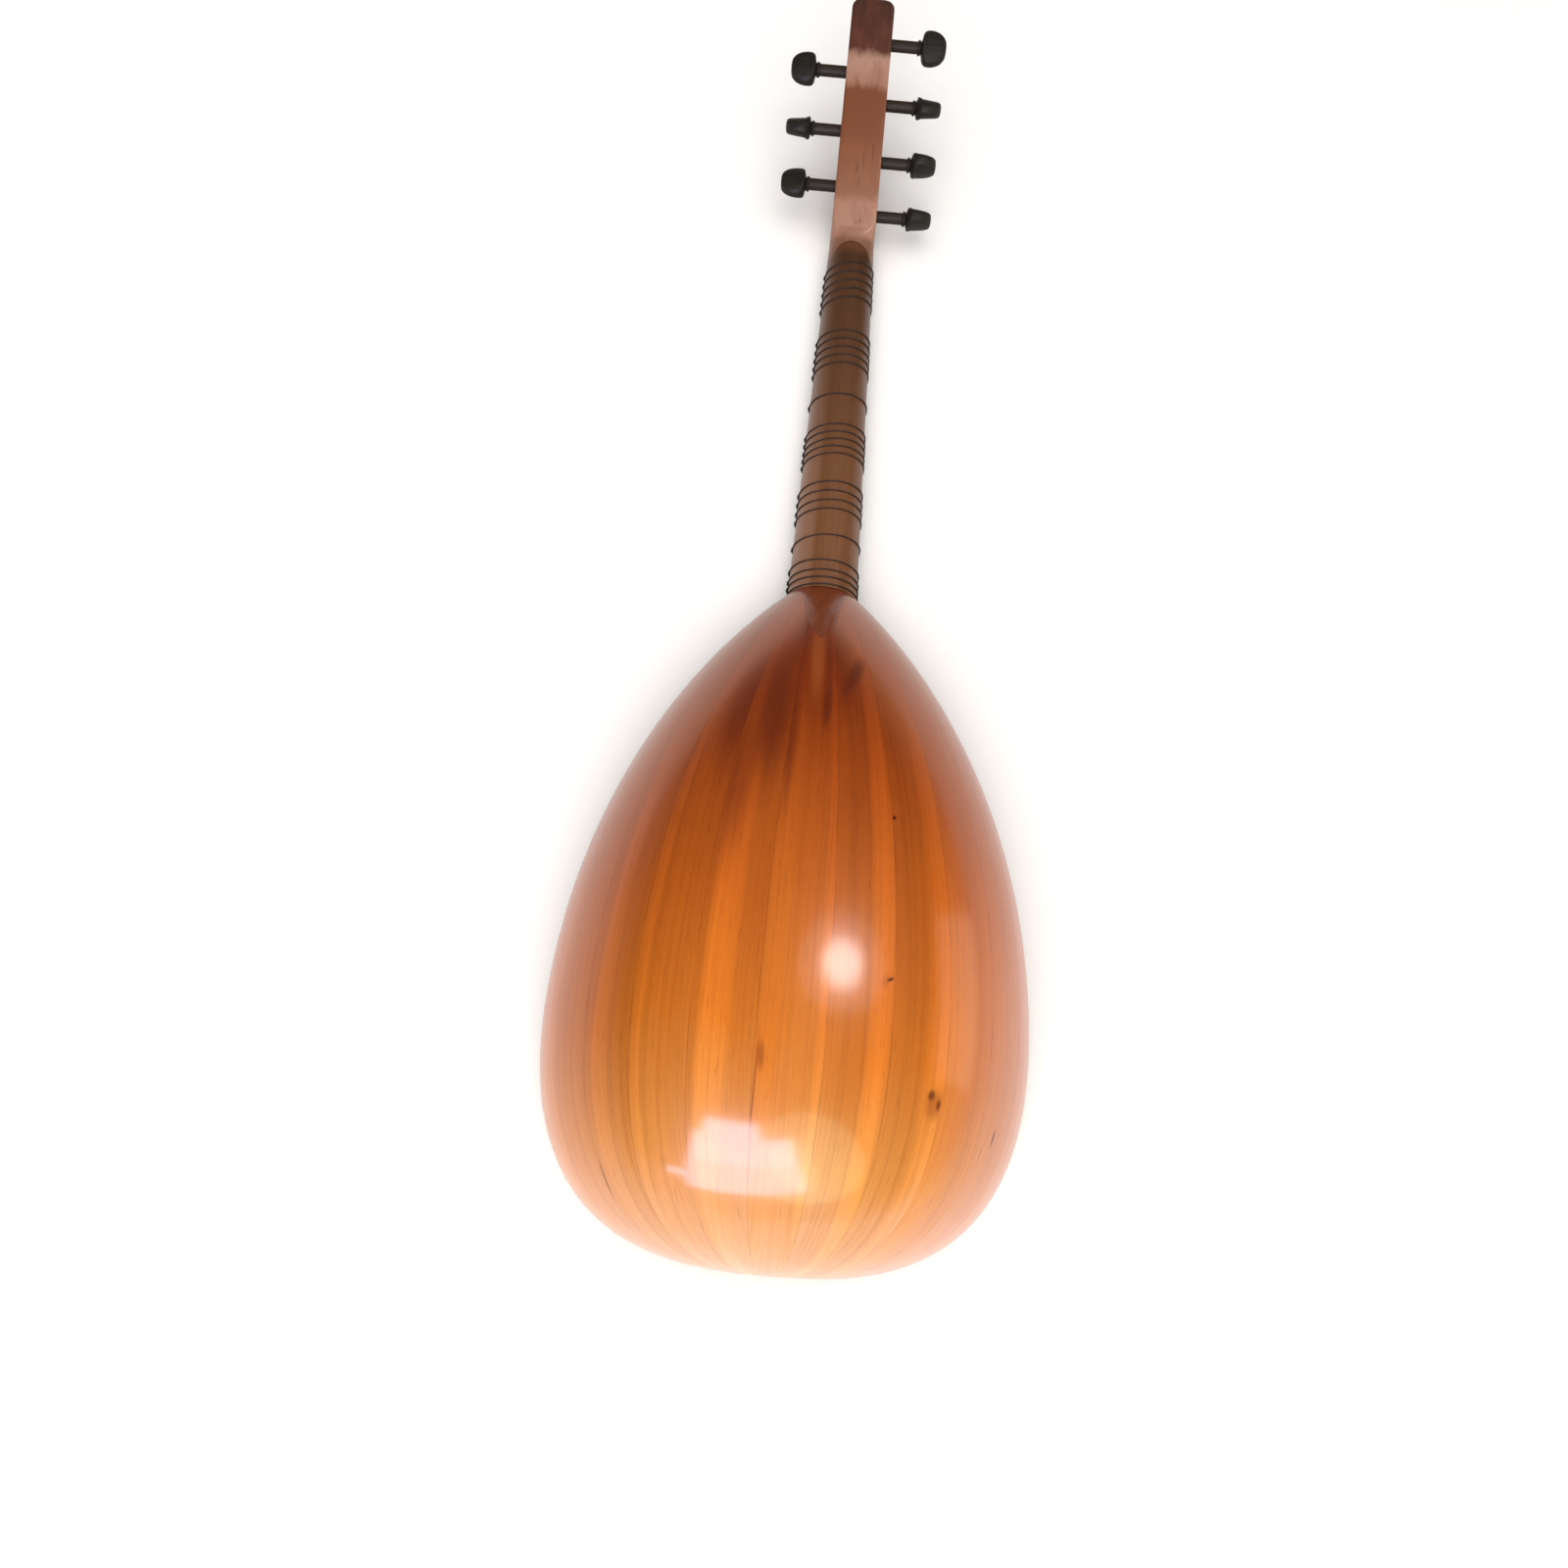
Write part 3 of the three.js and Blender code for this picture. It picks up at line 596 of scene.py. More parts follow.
def bowl_painted_light(pen, along, round_bowl, colour):
    """Painted light and shade on the bowl: paler towards the rims as painted light for the floor's
    reflection, a painted highlight beside the heel at the shoulders, painted shade darkening the treble side
    and painted light making the bass side rosier.
    """
    aside = pen.math("ABSOLUTE", pen.minus(round_bowl, 0.5))
    # Painted light: paler towards the rims, standing in for the pale floor seen in the varnish.
    colour = pen.tint(colour, pen.remap(aside, 0.16, 0.42), 0.5, "c9815c")
    lopsided = pen.math("ABSOLUTE", pen.minus(round_bowl, 0.515))
    rise = pen.minus(lopsided, pen.times(pen.minus(along, 0.36), 1.3))
    # Painted highlight: a lighter tone beside the heel wedge, towards the shoulders.
    shoulder = pen.times(pen.remap(rise, -0.03, 0.08), pen.remap(along, 0.64, 0.48))
    colour = pen.tint(colour, shoulder, 0.6, "a2541f")
    # Painted shade: the treble side made darker, as if less lit.
    shaded_side = pen.times(pen.remap(round_bowl, 0.56, 0.76), pen.remap(along, 0.74, 0.64))
    colour = pen.tint(colour, shaded_side, 0.6, (0.76, 0.72, 0.72, 1), "MULTIPLY")
    # Painted light: the bass side made rosier and brighter, as if more lit.
    lit_side = pen.times(pen.remap(round_bowl, 0.34, 0.14), pen.remap(along, 0.54, 0.66))
    return pen.tint(colour, lit_side, 0.4, "b98374")


def rib_wood(index, marks):
    """Stained and varnished wood, dark at the neck and light at the tail."""
    pen = new_pen(f"bowl_rib_wood_{index + 1:02d}")
    grain = pen.attribute("grain")
    share, along, round_bowl = pen.split(pen.attribute("place"))
    streaks, pores = fibres(pen, grain)
    growth = bands(pen, grain, 0.004)
    patches = pen.long_noise(grain, 22, 7, 3.0, 0.55)
    body = {"Value": along, "From Min": BODY_START, "From Max": BODY_END}
    faded = pen.node("ShaderNodeMapRange", body).outputs["Result"]
    faded = pen.plus(faded, pen.times(pen.minus(patches, 0.5), 0.24))
    colour = pen.ramp(faded, STAIN)
    wavering = pen.times(pen.minus(pen.long_noise(grain, 0, 6, 2.0), 0.5), 0.16)
    stripe = pen.ramp(
        pen.plus(share, wavering),
        [(place, (tone / 2, tone / 2, tone / 2, 1)) for place, tone in rib_stripes(index)])
    stripe = pen.stretch(stripe, (2, 2, 2))
    colour = pen.mix(pen.remap(along, 0.67, 0.76, 0.85, 0.4), colour, stripe, "MULTIPLY")
    dark_bands = pen.ramp(growth, [(0.3, (0.72, 0.66, 0.6, 1)), (0.5, (1, 1, 1, 1))])
    colour = pen.mix(0.5, colour, dark_bands, "MULTIPLY")
    fine = pen.ramp(streaks, [(0.25, (0.7, 0.62, 0.55, 1)), (0.52, (1, 1, 1, 1)), (0.8, (1.0, 0.98, 0.9, 1))])
    colour = pen.mix(0.48, colour, fine, "MULTIPLY")
    colour = pen.tint(colour, pores, 0.35, "3c1606")
    # Painted light and shade: paler rims and shoulders, a darker treble side and a brighter bass side.
    colour = bowl_painted_light(pen, along, round_bowl, colour)
    edge = pen.times(pen.minus(share, 0.5), 2.0)
    edge = pen.remap(pen.math("ABSOLUTE", edge), 0.965, 1.0)
    broken = pen.remap(pen.long_noise(grain, 0, 28), 0.4, 0.7, 0.05, 0.4)
    colour = pen.tint(colour, edge, broken, "4a1c08")
    for at, size, strength, tone in marks:
        colour = pen.tint(colour, spot(pen, grain, at, size), strength, tone)
    height = pen.plus(pen.times(streaks, 0.6), pen.times(growth, 0.4))
    return pen.finish(colour, pen.remap(streaks, 0.2, 0.8, 0.42, 0.3), height, WOOD_RELIEF, VARNISH)


def plain_wood(name, stops, dark, pore_strength=0.5, band_width=0.006, roughness=(0.5, 0.38), coat=None,
               coordinates=None, extra=None):
    """Straight-grained wood between the tones of stops, with dark pores."""
    pen = new_pen(name)
    grain = coordinates(pen) if coordinates else pen.attribute("grain")
    streaks, pores = fibres(pen, grain)
    growth = bands(pen, grain, band_width)
    blend = pen.plus(pen.times(growth, 0.6), pen.times(streaks, 0.4))
    colour = pen.ramp(blend, stops)
    colour = pen.tint(colour, pores, pore_strength, dark)
    if extra:
        colour = extra(pen, grain, colour)
    height = pen.minus(pen.times(streaks, 0.7), pen.times(pores, 0.6))
    gloss = pen.remap(streaks, 0.2, 0.8, roughness[0], roughness[1])
    return pen.finish(colour, gloss, height, WOOD_RELIEF, coat)


def object_grain(order):
    """The wood's directions read from where a point lies in the frame, for pieces kept as they came."""
    def read(pen):
        parts = pen.split(pen.where())
        return pen.join(*(parts[i] for i in order))
    return read


def neck_zones(pen, grain, colour):
    """Hand wear: darker near the nut. A painted reflection makes the treble side paler and greyer than the
    rest of the neck.
    """
    across, along, _ = pen.split(grain)
    from_nut = pen.minus(NUT_Y, along)
    cloud = pen.long_noise(grain, 60, 14, 3.0, 0.6)
    used = pen.remap(pen.plus(from_nut, pen.times(cloud, 0.02)), 0.068, 0.028)
    colour = pen.tint(colour, used, 0.72, "3c2415")
    joint = pen.remap(pen.plus(from_nut, pen.times(cloud, 0.008)), 0.031, 0.026)
    colour = pen.tint(colour, joint, 0.6, "5c2c16")
    # Painted reflection: the treble side paler and greyer, standing in for the varnish catching the pale
    # floor.
    colour = pen.tint(colour, pen.remap(across, -0.007, -0.014), 0.5, "94705a")
    colour = pen.tint(colour, pen.remap(from_nut, 0.3, 0.05), 0.66, "311d12")
    return pen.tint(colour, pen.remap(from_nut, 0.03, 0.02), 0.55, "6b3d22")


# Small dark marks on the pegbox's back: place across and reach, then half sizes.
PEGBOX_MARKS = [
    (-0.0016, 0.048, 0.0018, 0.008),
    (0.003, 0.055, 0.0012, 0.011),
    (0.0102, 0.062, 0.0016, 0.012),
    (0.001, 0.004, 0.0011, 0.003),
    (0.0045, 0.005, 0.001, 0.0035),
    (0.0005, 0.036, 0.0007, 0.008),
    (0.008, 0.148, 0.0016, 0.014),
]


def pegbox_zones(pen, grain, colour):
    """The back runs from pale at the neck through brown to a pale band and a dark end. The two pale bands are
    painted reflections of the window on the satin back, and the dark end is partly the wood's tone and partly
    painted shade.
    """
    reach = pen.split(grain)[1]
    cloud = pen.long_noise(grain, 90, 30, 4.0, 0.6)
    wander = pen.times(pen.minus(cloud, 0.5), 0.02)
    place = pen.math("DIVIDE", pen.plus(reach, wander), PEGBOX_LENGTH)
    # Painted reflections: the pale stops near the start and from 0.64 to 0.74. Partly painted shade: the dark
    # stops from 0.78 to the end.
    zones = pen.ramp(place, [
        (0.0, "a17762"),
        (0.11, "9d705a"),
        (0.15, "85543a"),
        (0.34, "7c4726"),
        (0.4, "6e3817"),
        (0.6, "6a3615"),
        (0.64, "986e58"),
        (0.74, "a7806d"),
        (0.78, "3c1507"),
        (0.97, "2c0e05"),
        (1.0, "180a06"),
    ])
    colour = pen.mix(0.85, colour, zones)
    colour = pen.tint(colour, pen.remap(reach, -0.006, -0.013), 0.6, "6a4433")
    colour = pen.tint(colour, pen.remap(cloud, 0.55, 0.35), 0.3, "6a3423")
    for x, y, wide, long in PEGBOX_MARKS:
        colour = pen.tint(colour, spot(pen, grain, (x, y), (wide, long)), 0.5, "4a2014")
    return colour


def ebony():
    """Near-black turned wood with brown streaks that show on the thin shafts."""
    pen = new_pen("peg_ebony")
    grain = pen.attribute("grain")
    streaks, pores = fibres(pen, grain, 0.8)
    shaft = pen.remap(pen.math("ABSOLUTE", pen.split(grain)[1]), KNOB_START, KNOB_START - 0.006)
    knob_tone = pen.ramp(streaks, [(0.3, "15120f"), (0.7, "26211c")])
    shaft_tone = pen.ramp(streaks, [(0.3, "18110c"), (0.7, "30251b")])
    colour = pen.mix(shaft, knob_tone, shaft_tone)
    colour = pen.tint(colour, pores, 0.5, "0a0807")
    height = pen.minus(streaks, pen.times(pores, 0.7))
    gloss = pen.remap(streaks, 0.2, 0.8, 0.6, 0.48)
    return pen.finish(colour, gloss, height, 0.0001, {"Specular IOR Level": 0.12})


def nylon(name, dark, light, roughness, fixed=None):
    """A smooth line with faint drawn streaks and small variations of gloss."""
    pen = new_pen(name)
    where = pen.where()
    small = pen.noise(where, 2200.0, 3.0, 0.6)
    large = pen.noise(where, 160.0, 2.0, 0.5)
    blend = pen.plus(pen.times(small, 0.4), pen.times(large, 0.6))
    colour = pen.ramp(blend, [(0.35, dark), (0.65, light)])
    gloss = pen.remap(small, 0.3, 0.7, roughness - 0.06, roughness + 0.06)
    return pen.finish(colour, gloss, small, 0.00002, fixed)


def wound_string():
    """Silvered wire wound closely round a core."""
    pen = new_pen("string_wound_wire")
    where = pen.where()
    wave = pen.node(
        "ShaderNodeTexWave",
        {"Vector": where, "Scale": 900.0, "Distortion": 0.4, "Detail": 1.0},
        bands_direction="Y", wave_profile="SIN")
    turns = wave.outputs["Fac"]
    tarnish = pen.noise(where, 90.0, 3.0, 0.6)
    colour = pen.ramp(turns, [(0.1, "5e574c"), (0.8, "c9c2b2")])
    colour = pen.tint(colour, tarnish, 0.3, "8a7448")
    gloss = pen.remap(tarnish, 0.3, 0.7, 0.3, 0.45)
    return pen.finish(colour, gloss, turns, 0.00006, {"Metallic": 0.9})


def bone():
    """Creamy bone with faint long canals."""
    pen = new_pen("nut_bone")
    grain = pen.attribute("grain")
    streaks, pores = fibres(pen, grain, 1.2)
    cloud = pen.noise(grain, 160.0, 3.0, 0.6)
    colour = pen.ramp(cloud, [(0.3, "d9cba8"), (0.7, "efe7d2")])
    colour = pen.tint(colour, pores, 0.35, "a98f63")
    gloss = pen.remap(streaks, 0.2, 0.8, 0.42, 0.32)
    glow = {"Subsurface Weight": 0.15, "Subsurface Radius": (0.002, 0.0015, 0.001)}
    return pen.finish(colour, gloss, streaks, 0.00003, glow)


def floor_material():
    """Plain pale matt ground with a barely visible tooth."""
    pen = new_pen("pale_floor")
    where = pen.where()
    tooth = pen.noise(where, 900.0, 3.0, 0.6)
    colour = pen.ramp(tooth, [(0.3, "f4f2f0"), (0.7, "f8f7f5")])
    return pen.finish(colour, 0.85, tooth, 0.00002, {"Specular IOR Level": 0.1})


# ---- bowl ----

def rib_sections(index):
    """The rib's rings, with each point's own directions and its place on the rib."""
    low = pi * index / RIB_COUNT
    high = pi * (index + 1) / RIB_COUNT
    samples = np.linspace(low, high, 15)
    starts = np.array([rib_start(a) for a in samples])
    rings = []
    grains = []
    places = []
    run = 0.0
    before = None
    for step in np.linspace(0, 1, 121):
        middle_q = np.interp((low + high) / 2, samples, starts)
        middle_q = middle_q + (RIB_END - middle_q) * step
        width = np.linalg.norm(bowl(high, middle_q) - bowl(low, middle_q))
        joint = JOINT_HALF_GAP / width
        u = np.linspace(joint, 1 - joint, 16)
        angle = low + (high - low) * u
        q = np.interp(angle, samples, starts)
        q = q + (RIB_END - q) * step
        surface = bowl(angle, q)
        chord = bowl(low, q) * (1 - u)[:, None] + bowl(high, q) * u[:, None]
        surface = chord + (surface - chord) * (1 - RIB_FLATNESS)
        inner = surface + bowl_inwards(angle, q) * RIB_THICKNESS
        middle = surface[len(u) // 2]
        run += 0 if before is None else np.linalg.norm(middle - before)
        before = middle
        rings.append(np.concatenate([surface, inner[::-1]]))
        along = outline(q)[..., 1]
        grain = np.stack([(u - 0.5) * width, np.full(len(u), run), np.full(len(u), 0.037 * index)], 1)
        place = np.stack([u, along, angle / pi], 1)
        grains.append(np.concatenate([grain, grain[::-1] + (0, 0, RIB_THICKNESS)]))
        places.append(np.concatenate([place, place[::-1]]))
    return np.array(rings), np.array(grains), np.array(places)


def mark_place(grains, places, degrees, along):
    """The rib's own (across, along) of a spot given by its angle round the bowl and distance along."""
    count = grains.shape[1] // 2
    row = np.argmin(np.abs(places[:, count // 2, 1] - along))
    angle = places[row, :count, 2] * 180
    return float(np.interp(degrees, angle, grains[row, :count, 0])), float(grains[row, count // 2, 1])


DARK_KNOT = "3a0f05"
SOFT_KNOT = "6a2409"
BURNT = "5c200b"
PALE_STREAK = "9c4f20"
# Knots, streaks and cracks: rib, angle round the bowl, distance along, half sizes, strength, colour.
MARKS = [
    (4, 68.9, 0.522, 0.0022, 0.0022, 0.95, DARK_KNOT),
    (5, 70.3, 0.6335, 0.003, 0.0016, 0.85, DARK_KNOT),
    (5, 71.4, 0.6315, 0.004, 0.005, 0.25, SOFT_KNOT),
    (4, 58.4, 0.6815, 0.0035, 0.004, 0.75, DARK_KNOT),
    (4, 56.2, 0.683, 0.0022, 0.0042, 0.7, DARK_KNOT),
    (4, 57.3, 0.682, 0.0085, 0.011, 0.45, SOFT_KNOT),
    (2, 34.8, 0.694, 0.0012, 0.007, 0.95, DARK_KNOT),
    (2, 38.6, 0.701, 0.0006, 0.005, 0.5, DARK_KNOT),
    (6, 95.6, 0.676, 0.003, 0.01, 0.5, SOFT_KNOT),
    (6, 96.5, 0.69, 0.0006, 0.04, 0.7, SOFT_KNOT),
    (9, 137.8, 0.733, 0.0007, 0.017, 0.9, DARK_KNOT),
    (6, 90.5, 0.415, 0.007, 0.06, 0.65, PALE_STREAK),
    (5, 76.0, 0.426, 0.012, 0.015, 0.85, BURNT),
    (6, 86.5, 0.462, 0.0042, 0.027, 0.75, BURNT),
    (6, 96.3, 0.48, 0.006, 0.06, 0.6, BURNT),
    (7, 103.0, 0.455, 0.017, 0.085, 0.8, BURNT),
    (8, 113.0, 0.455, 0.017, 0.078, 0.65, BURNT),
    (7, 108.0, 0.515, 0.011, 0.07, 0.5, BURNT),
    (6, 96.5, 0.515, 0.006, 0.045, 0.3, BURNT),
]


def make_ribs():
    for index in range(RIB_COUNT):
        rings, grains, places = rib_sections(index)
        marks = [
            (mark_place(grains, places, degrees, along), (wide, long), strength, colour)
            for rib, degrees, along, wide, long, strength, colour in MARKS if rib == index]
        node = f"rib_{index + 1:02d}"
        piece = loft(f"bent_{node}", rings, 50)
        write_vectors(piece, "grain", grains.reshape(-1, 3))
        write_vectors(piece, "place", places.reshape(-1, 3))
        settle(piece, "bowl_ribs", rib_wood(index, marks), node)


def make_heel_cap():
    """The wedge between the ribs at the neck, with its edges a little sunk."""
    turn = np.linspace(-1, 1, 25)
    drop = np.where(np.abs(turn) > 0.999, HEEL_EDGE_DROP, 0.0)
    rings = []
    for share in np.linspace(0.004, 0.985, 40):
        along = BODY_START + HEEL_LENGTH * share
        q = parameter_at(along)
        half = max(heel_half_width(along) - HEEL_CLEARANCE, 0.0001)
        angle = pi / 2 + asin(min(half / outline(q)[0], 1)) * turn
        surface = bowl(angle, np.full(25, q))
        inwards = bowl_inwards(angle, np.full(25, q))
        inner = surface + inwards * RIB_THICKNESS
        rings.append(np.concatenate([surface + inwards * drop[:, None], inner[::-1]]))
    piece = loft("heel_wedge", rings)
    tones = [(0.3, "5e280f"), (0.7, "833f1c")]
    wood = plain_wood("heel_wood", tones, "2c0f06", coat=VARNISH)
    settle(piece, "heel_wood", wood, "heel_cap", axes=LENGTHWISE)


def make_end_clasp():
    """A rounded disc over the ribs' ends at the tail."""
    half, end = outline(RIB_END)
    radius = half - 0.0015
    soft = 0.0004
    turns = np.linspace(0, pi, 40)
    rings = []
    stops = [(radius - soft, end - RIB_THICKNESS), (radius, end - RIB_THICKNESS + soft)]
    stops += [(radius, end - soft), (radius - soft, end)]
    stops += [tuple(outline(q)) for q in np.linspace(1.875, 1.975, 10)]
    for size, along in stops:
        heights = RIM + DEPTH_AT_TAIL * size * np.sin(turns)
        rings.append(np.stack([size * np.cos(turns), np.full(40, NUT_Y - along), heights], 1))
    piece = loft("tail_clasp", rings)
    tones = [(0.3, "b4672a"), (0.7, "d08a48")]
    wood = plain_wood("clasp_wood", tones, "4a200c", coat=VARNISH)
    settle(piece, "bowl_ribs", wood, "end_clasp", axes=CROSSWISE)


# ---- soundboard ----

def inset_outline(inset, first, steps):
    """The edge moved inwards, from the neck to the tail, as (x, y) on the +X side."""
    q = first + (2 - first) * np.arange(steps + 1) / steps
    point = outline(q)
    step = 1e-4
    tangent = outline(np.minimum(q + step, 2)) - outline(np.maximum(q - step, 0))
    tangent /= np.linalg.norm(tangent, axis=1, keepdims=True)
    across = np.maximum(point[:, 0] - tangent[:, 1] * inset, 0)
    return np.stack([across, NUT_Y - (point[:, 1] + tangent[:, 0] * inset)], 1)


def upright(u, v, height):
    return (u, v, height)


def make_soundboard(spruce):
    seam = 0.00005
    for side, name in ((1, "bass"), (-1, "treble")):
        edge = inset_outline(BINDING_WIDTH + 0.0001, 0.01, 72)
        edge[:, 0] = np.maximum(edge[:, 0], seam)
        reach = acos(seam / HOLE_RADIUS)
        turns = np.linspace(-reach, reach, 40)
        arc = np.stack([HOLE_RADIUS * np.cos(turns), NUT_Y - HOLE_AT + HOLE_RADIUS * np.sin(turns)], 1)
        points = np.concatenate([[[seam, edge[0][1]]], edge, arc]) * (side, 1)
        piece = extrude(f"spruce_{name}", points, SOUNDBOARD_FRONT, SOUNDBOARD_BACK, upright)
        settle(piece, "soundboard_wood", spruce, f"soundboard_{name}", axes=LENGTHWISE)


def make_binding(material):
    """The strip let into the edge, as rings swept along one side and back up the other."""
    edges = []
    for inset in (0, BINDING_WIDTH):
        edge = inset_outline(inset, 0.01, 90)
        edges.append(np.concatenate([edge, edge[-2::-1] * (-1, 1)]))
    round_off = 0.0004
    low = SOUNDBOARD_FRONT
    high = SOUNDBOARD_BACK
    section = [(0, low + round_off), (round_off / BINDING_WIDTH, low), (1, low), (1, high), (0, high),
               (0, (low + high) / 2)]
    rings = []
    for a, b in zip(*edges):
        rings.append([(*(a + (b - a) * share), height) for share, height in section])
    piece = loft("edge_strip", rings)
    settle(piece, "dark_wood", material, "edge_binding", axes=LENGTHWISE)


def petal(centre, turn, length, width):
    """A leaf-shaped opening of the rosette, as points (x, y)."""
    corners = 14
    points = []
    for k in range(corners):
        angle = 2 * pi * k / corners
        long = length * cos(angle)
        wide = width * sin(angle) * (1 - 0.25 * cos(angle))
        x = centre[0] + long * cos(turn) - wide * sin(turn)
        y = centre[1] + long * sin(turn) + wide * cos(turn)
        points.append((x, y))
    return points


def make_rosette():
    """A thin disc carved through with rings of leaves and small eyes."""
    low = SOUNDBOARD_FRONT + ROSETTE_INSET
    high = low + ROSETTE_THICKNESS
    middle = NUT_Y - HOLE_AT
    disc = circle((0, middle), HOLE_RADIUS - 0.0002, (1, 0), (0, 1), 96)
    piece = extrude("carved_rosette", disc, low, high, upright)
    leaves = []
    for count, distance, length, width, offset in ROSETTE_RINGS:
        for k in range(count):
            turn = 2 * pi * (k + offset) / count
            centre = (distance * cos(turn), middle + distance * sin(turn))
            leaves.append(petal(centre, turn, length, width))
    cut_openings(piece, leaves, low - BEYOND / 2, high + BEYOND / 2, upright)
    tones = [(0.3, "4e2c17"), (0.7, "7c4f2c")]
    settle(piece, "rosette_wood", plain_wood("rosette_wood", tones, "25120a"), "rosette", axes=LENGTHWISE)


# ---- neck ----

def neck_half_width(along):
    return NECK_HALF_AT_NUT + (NECK_HALF_AT_BODY - NECK_HALF_AT_NUT) * along / BODY_START


def neck_back(along):
    return NECK_BACK_AT_NUT + (NECK_BACK_AT_BODY - NECK_BACK_AT_NUT) * along / BODY_START


def neck_section(along, outwards=0.0, front=NECK_FRONT, steps=46):
    """The neck's D-shaped section as (x, z), from one front corner over the back to the other."""
    half = neck_half_width(along) + outwards
    rise = neck_back(along) + outwards - NECK_SIDE_TOP
    turns = np.linspace(0, pi, steps)
    arc = np.stack([half * np.cos(turns), NECK_SIDE_TOP + rise * np.sin(turns)], 1)
    soft = NECK_CORNER
    start = [(half - soft, front), (half, front + soft)]
    return np.concatenate([start, arc, [(-half, front + soft), (soft - half, front)]])


def neck_ring(places, outwards=0.0):
    """A neck section whose points each lie at their own place along the neck."""
    ring = []
    for i, along in enumerate(places):
        x, z = neck_section(along, outwards)[i]
        ring.append((x, NUT_Y - along, z))
    return ring


def tongue_edge(shift=0.0):
    """Where the neck's round tongue begins, for each point of a neck section."""
    x = neck_section(TONGUE_FEET)[:, 0]
    inside = np.clip(1 - (x / TONGUE_HALF_WIDTH) ** 2, 0, 1)
    return TONGUE_FEET - (TONGUE_FEET - TONGUE_TOP) * np.sqrt(inside) - shift


def make_neck():
    start = tongue_edge()
    length = BODY_START - GAP - start
    rings = [neck_ring(start, -0.0002)]
    for share in np.concatenate([[0.002], np.linspace(0.01, 1, 40)]):
        rings.append(neck_ring(start + length * share))
    piece = loft("carved_neck", rings)
    tones = [(0.25, "5c381b"), (0.5, "6e4424"), (0.75, "7c502c")]
    wood = plain_wood("neck_wood", tones, "3c2413", 0.55, 0.005, (0.5, 0.36), SATIN, extra=neck_zones)
    settle(piece, "neck_wood", wood, "neck", axes=LENGTHWISE)


def make_fingerboard(material):
    start = NUT_LENGTH / 2 + GAP
    end = BODY_START - GAP
    points = []
    for along, side in ((start, -1), (end, -1), (end, 1), (start, 1)):
        points.append((side * neck_half_width(along), NUT_Y - along))
    back = FINGERBOARD_FRONT + FINGERBOARD_THICKNESS
    piece = extrude("fretted_fingerboard", points, FINGERBOARD_FRONT, back, upright)
    soften(piece, 0.0004)
    settle(piece, "dark_wood", material, "fingerboard", axes=LENGTHWISE)


def make_nut():
    half = NECK_HALF_AT_NUT
    points = [(-half, NECK_FRONT - GAP), (-half, 0)]
    for x, radius in zip(STRING_AT_NUT, STRING_RADII):
        slot = radius + SLOT_CLEARANCE
        points.append((x - slot, 0))
        for turn in np.linspace(pi, 0, 7):
            points.append((x + slot * cos(turn), STRING_HEIGHT_AT_NUT + slot * sin(turn)))
        points.append((x + slot, 0))
    points += [(half, 0), (half, NECK_FRONT - GAP)]
    piece = extrude("slotted_nut", points, -NUT_LENGTH / 2, NUT_LENGTH / 2, lambda u, v, h: (u, NUT_Y + h, v))
    soften(piece, 0.00025, 2, 60)
    settle(piece, "bone", bone(), "nut", axes=CROSSWISE)


def fret_loop(along, tilt):
    """A nylon line tied round the neck: a closed D-shaped loop, laid slightly askew."""
    inside = FRET_RADIUS + 0.00004
    section = neck_section(along, inside, FINGERBOARD_FRONT - inside, 40)
    front = np.linspace(-1, 1, 12)[1:-1] * (neck_half_width(along) - 0.0006)
    section = np.concatenate([section, np.stack([front, np.full(10, FINGERBOARD_FRONT - inside)], 1)])
    lean = tilt * section[:, 0]
    path = np.stack([section[:, 0], NUT_Y - along + lean, section[:, 1]], 1)
    centre = np.array([0, NUT_Y - along, (NECK_FRONT + neck_back(along)) / 2])
    rings = []
    for i, point in enumerate(path):
        ahead = path[(i + 1) % len(path)] - path[i - 1]
        ahead /= np.linalg.norm(ahead)
        out = np.cross(ahead, (0, 1, 0))
        if out.dot(point - centre) < 0:
            out = -out
        out /= np.linalg.norm(out)
        rings.append(circle(point, FRET_RADIUS, out, np.cross(out, ahead), LINE_SIDES))
    return np.array(rings)


def fret_knot(along, tilt):
    """The small knot on the treble edge, with its two trimmed ends."""
    x = -neck_half_width(along) - FRET_RADIUS - 0.0004
    t = np.linspace(0, 1, 40)
    turn = 4 * pi * t
    wide = 0.0003
    high = 0.00075
    length = 0.0032
    path = np.stack([
        x - wide + wide * np.cos(turn),
        NUT_Y - along + tilt * x + (t - 0.5) * length + high * 0.6 * np.sin(turn),
        NECK_FRONT + 0.001 + high * np.cos(turn + 0.8),
    ], 1)
    return tube_rings(path, FRET_RADIUS * 0.95)


def make_frets():
    """Each tied fret is a loop with its knot; they are worn a little out of square, as tied gut is."""
    line = nylon("fret_nylon", "180e09", "2a1c12", 0.6, {"Specular IOR Level": 0.2})
    for group, (cents, lean) in enumerate(zip(FRET_CENTS, FRET_LEANS)):
        bodies = []
        for value in cents:
            along = SCALE_LENGTH * (1 - 2 ** (-value / 1200))
            tilt = lean + rng.uniform(-0.012, 0.012)
            loop = fret_loop(along, tilt)
            knot = fret_knot(along, tilt)
            bodies.append((loop, side_faces(len(loop), LINE_SIDES, closed=True)))
            bodies.append((knot, loft_faces(len(knot), LINE_SIDES)))
        piece = join_bodies(f"tied_frets_{group + 1}", bodies, 60)
        settle(piece, "fret_nylon", line, f"frets_{group + 1}")


# ---- bridge and strings ----

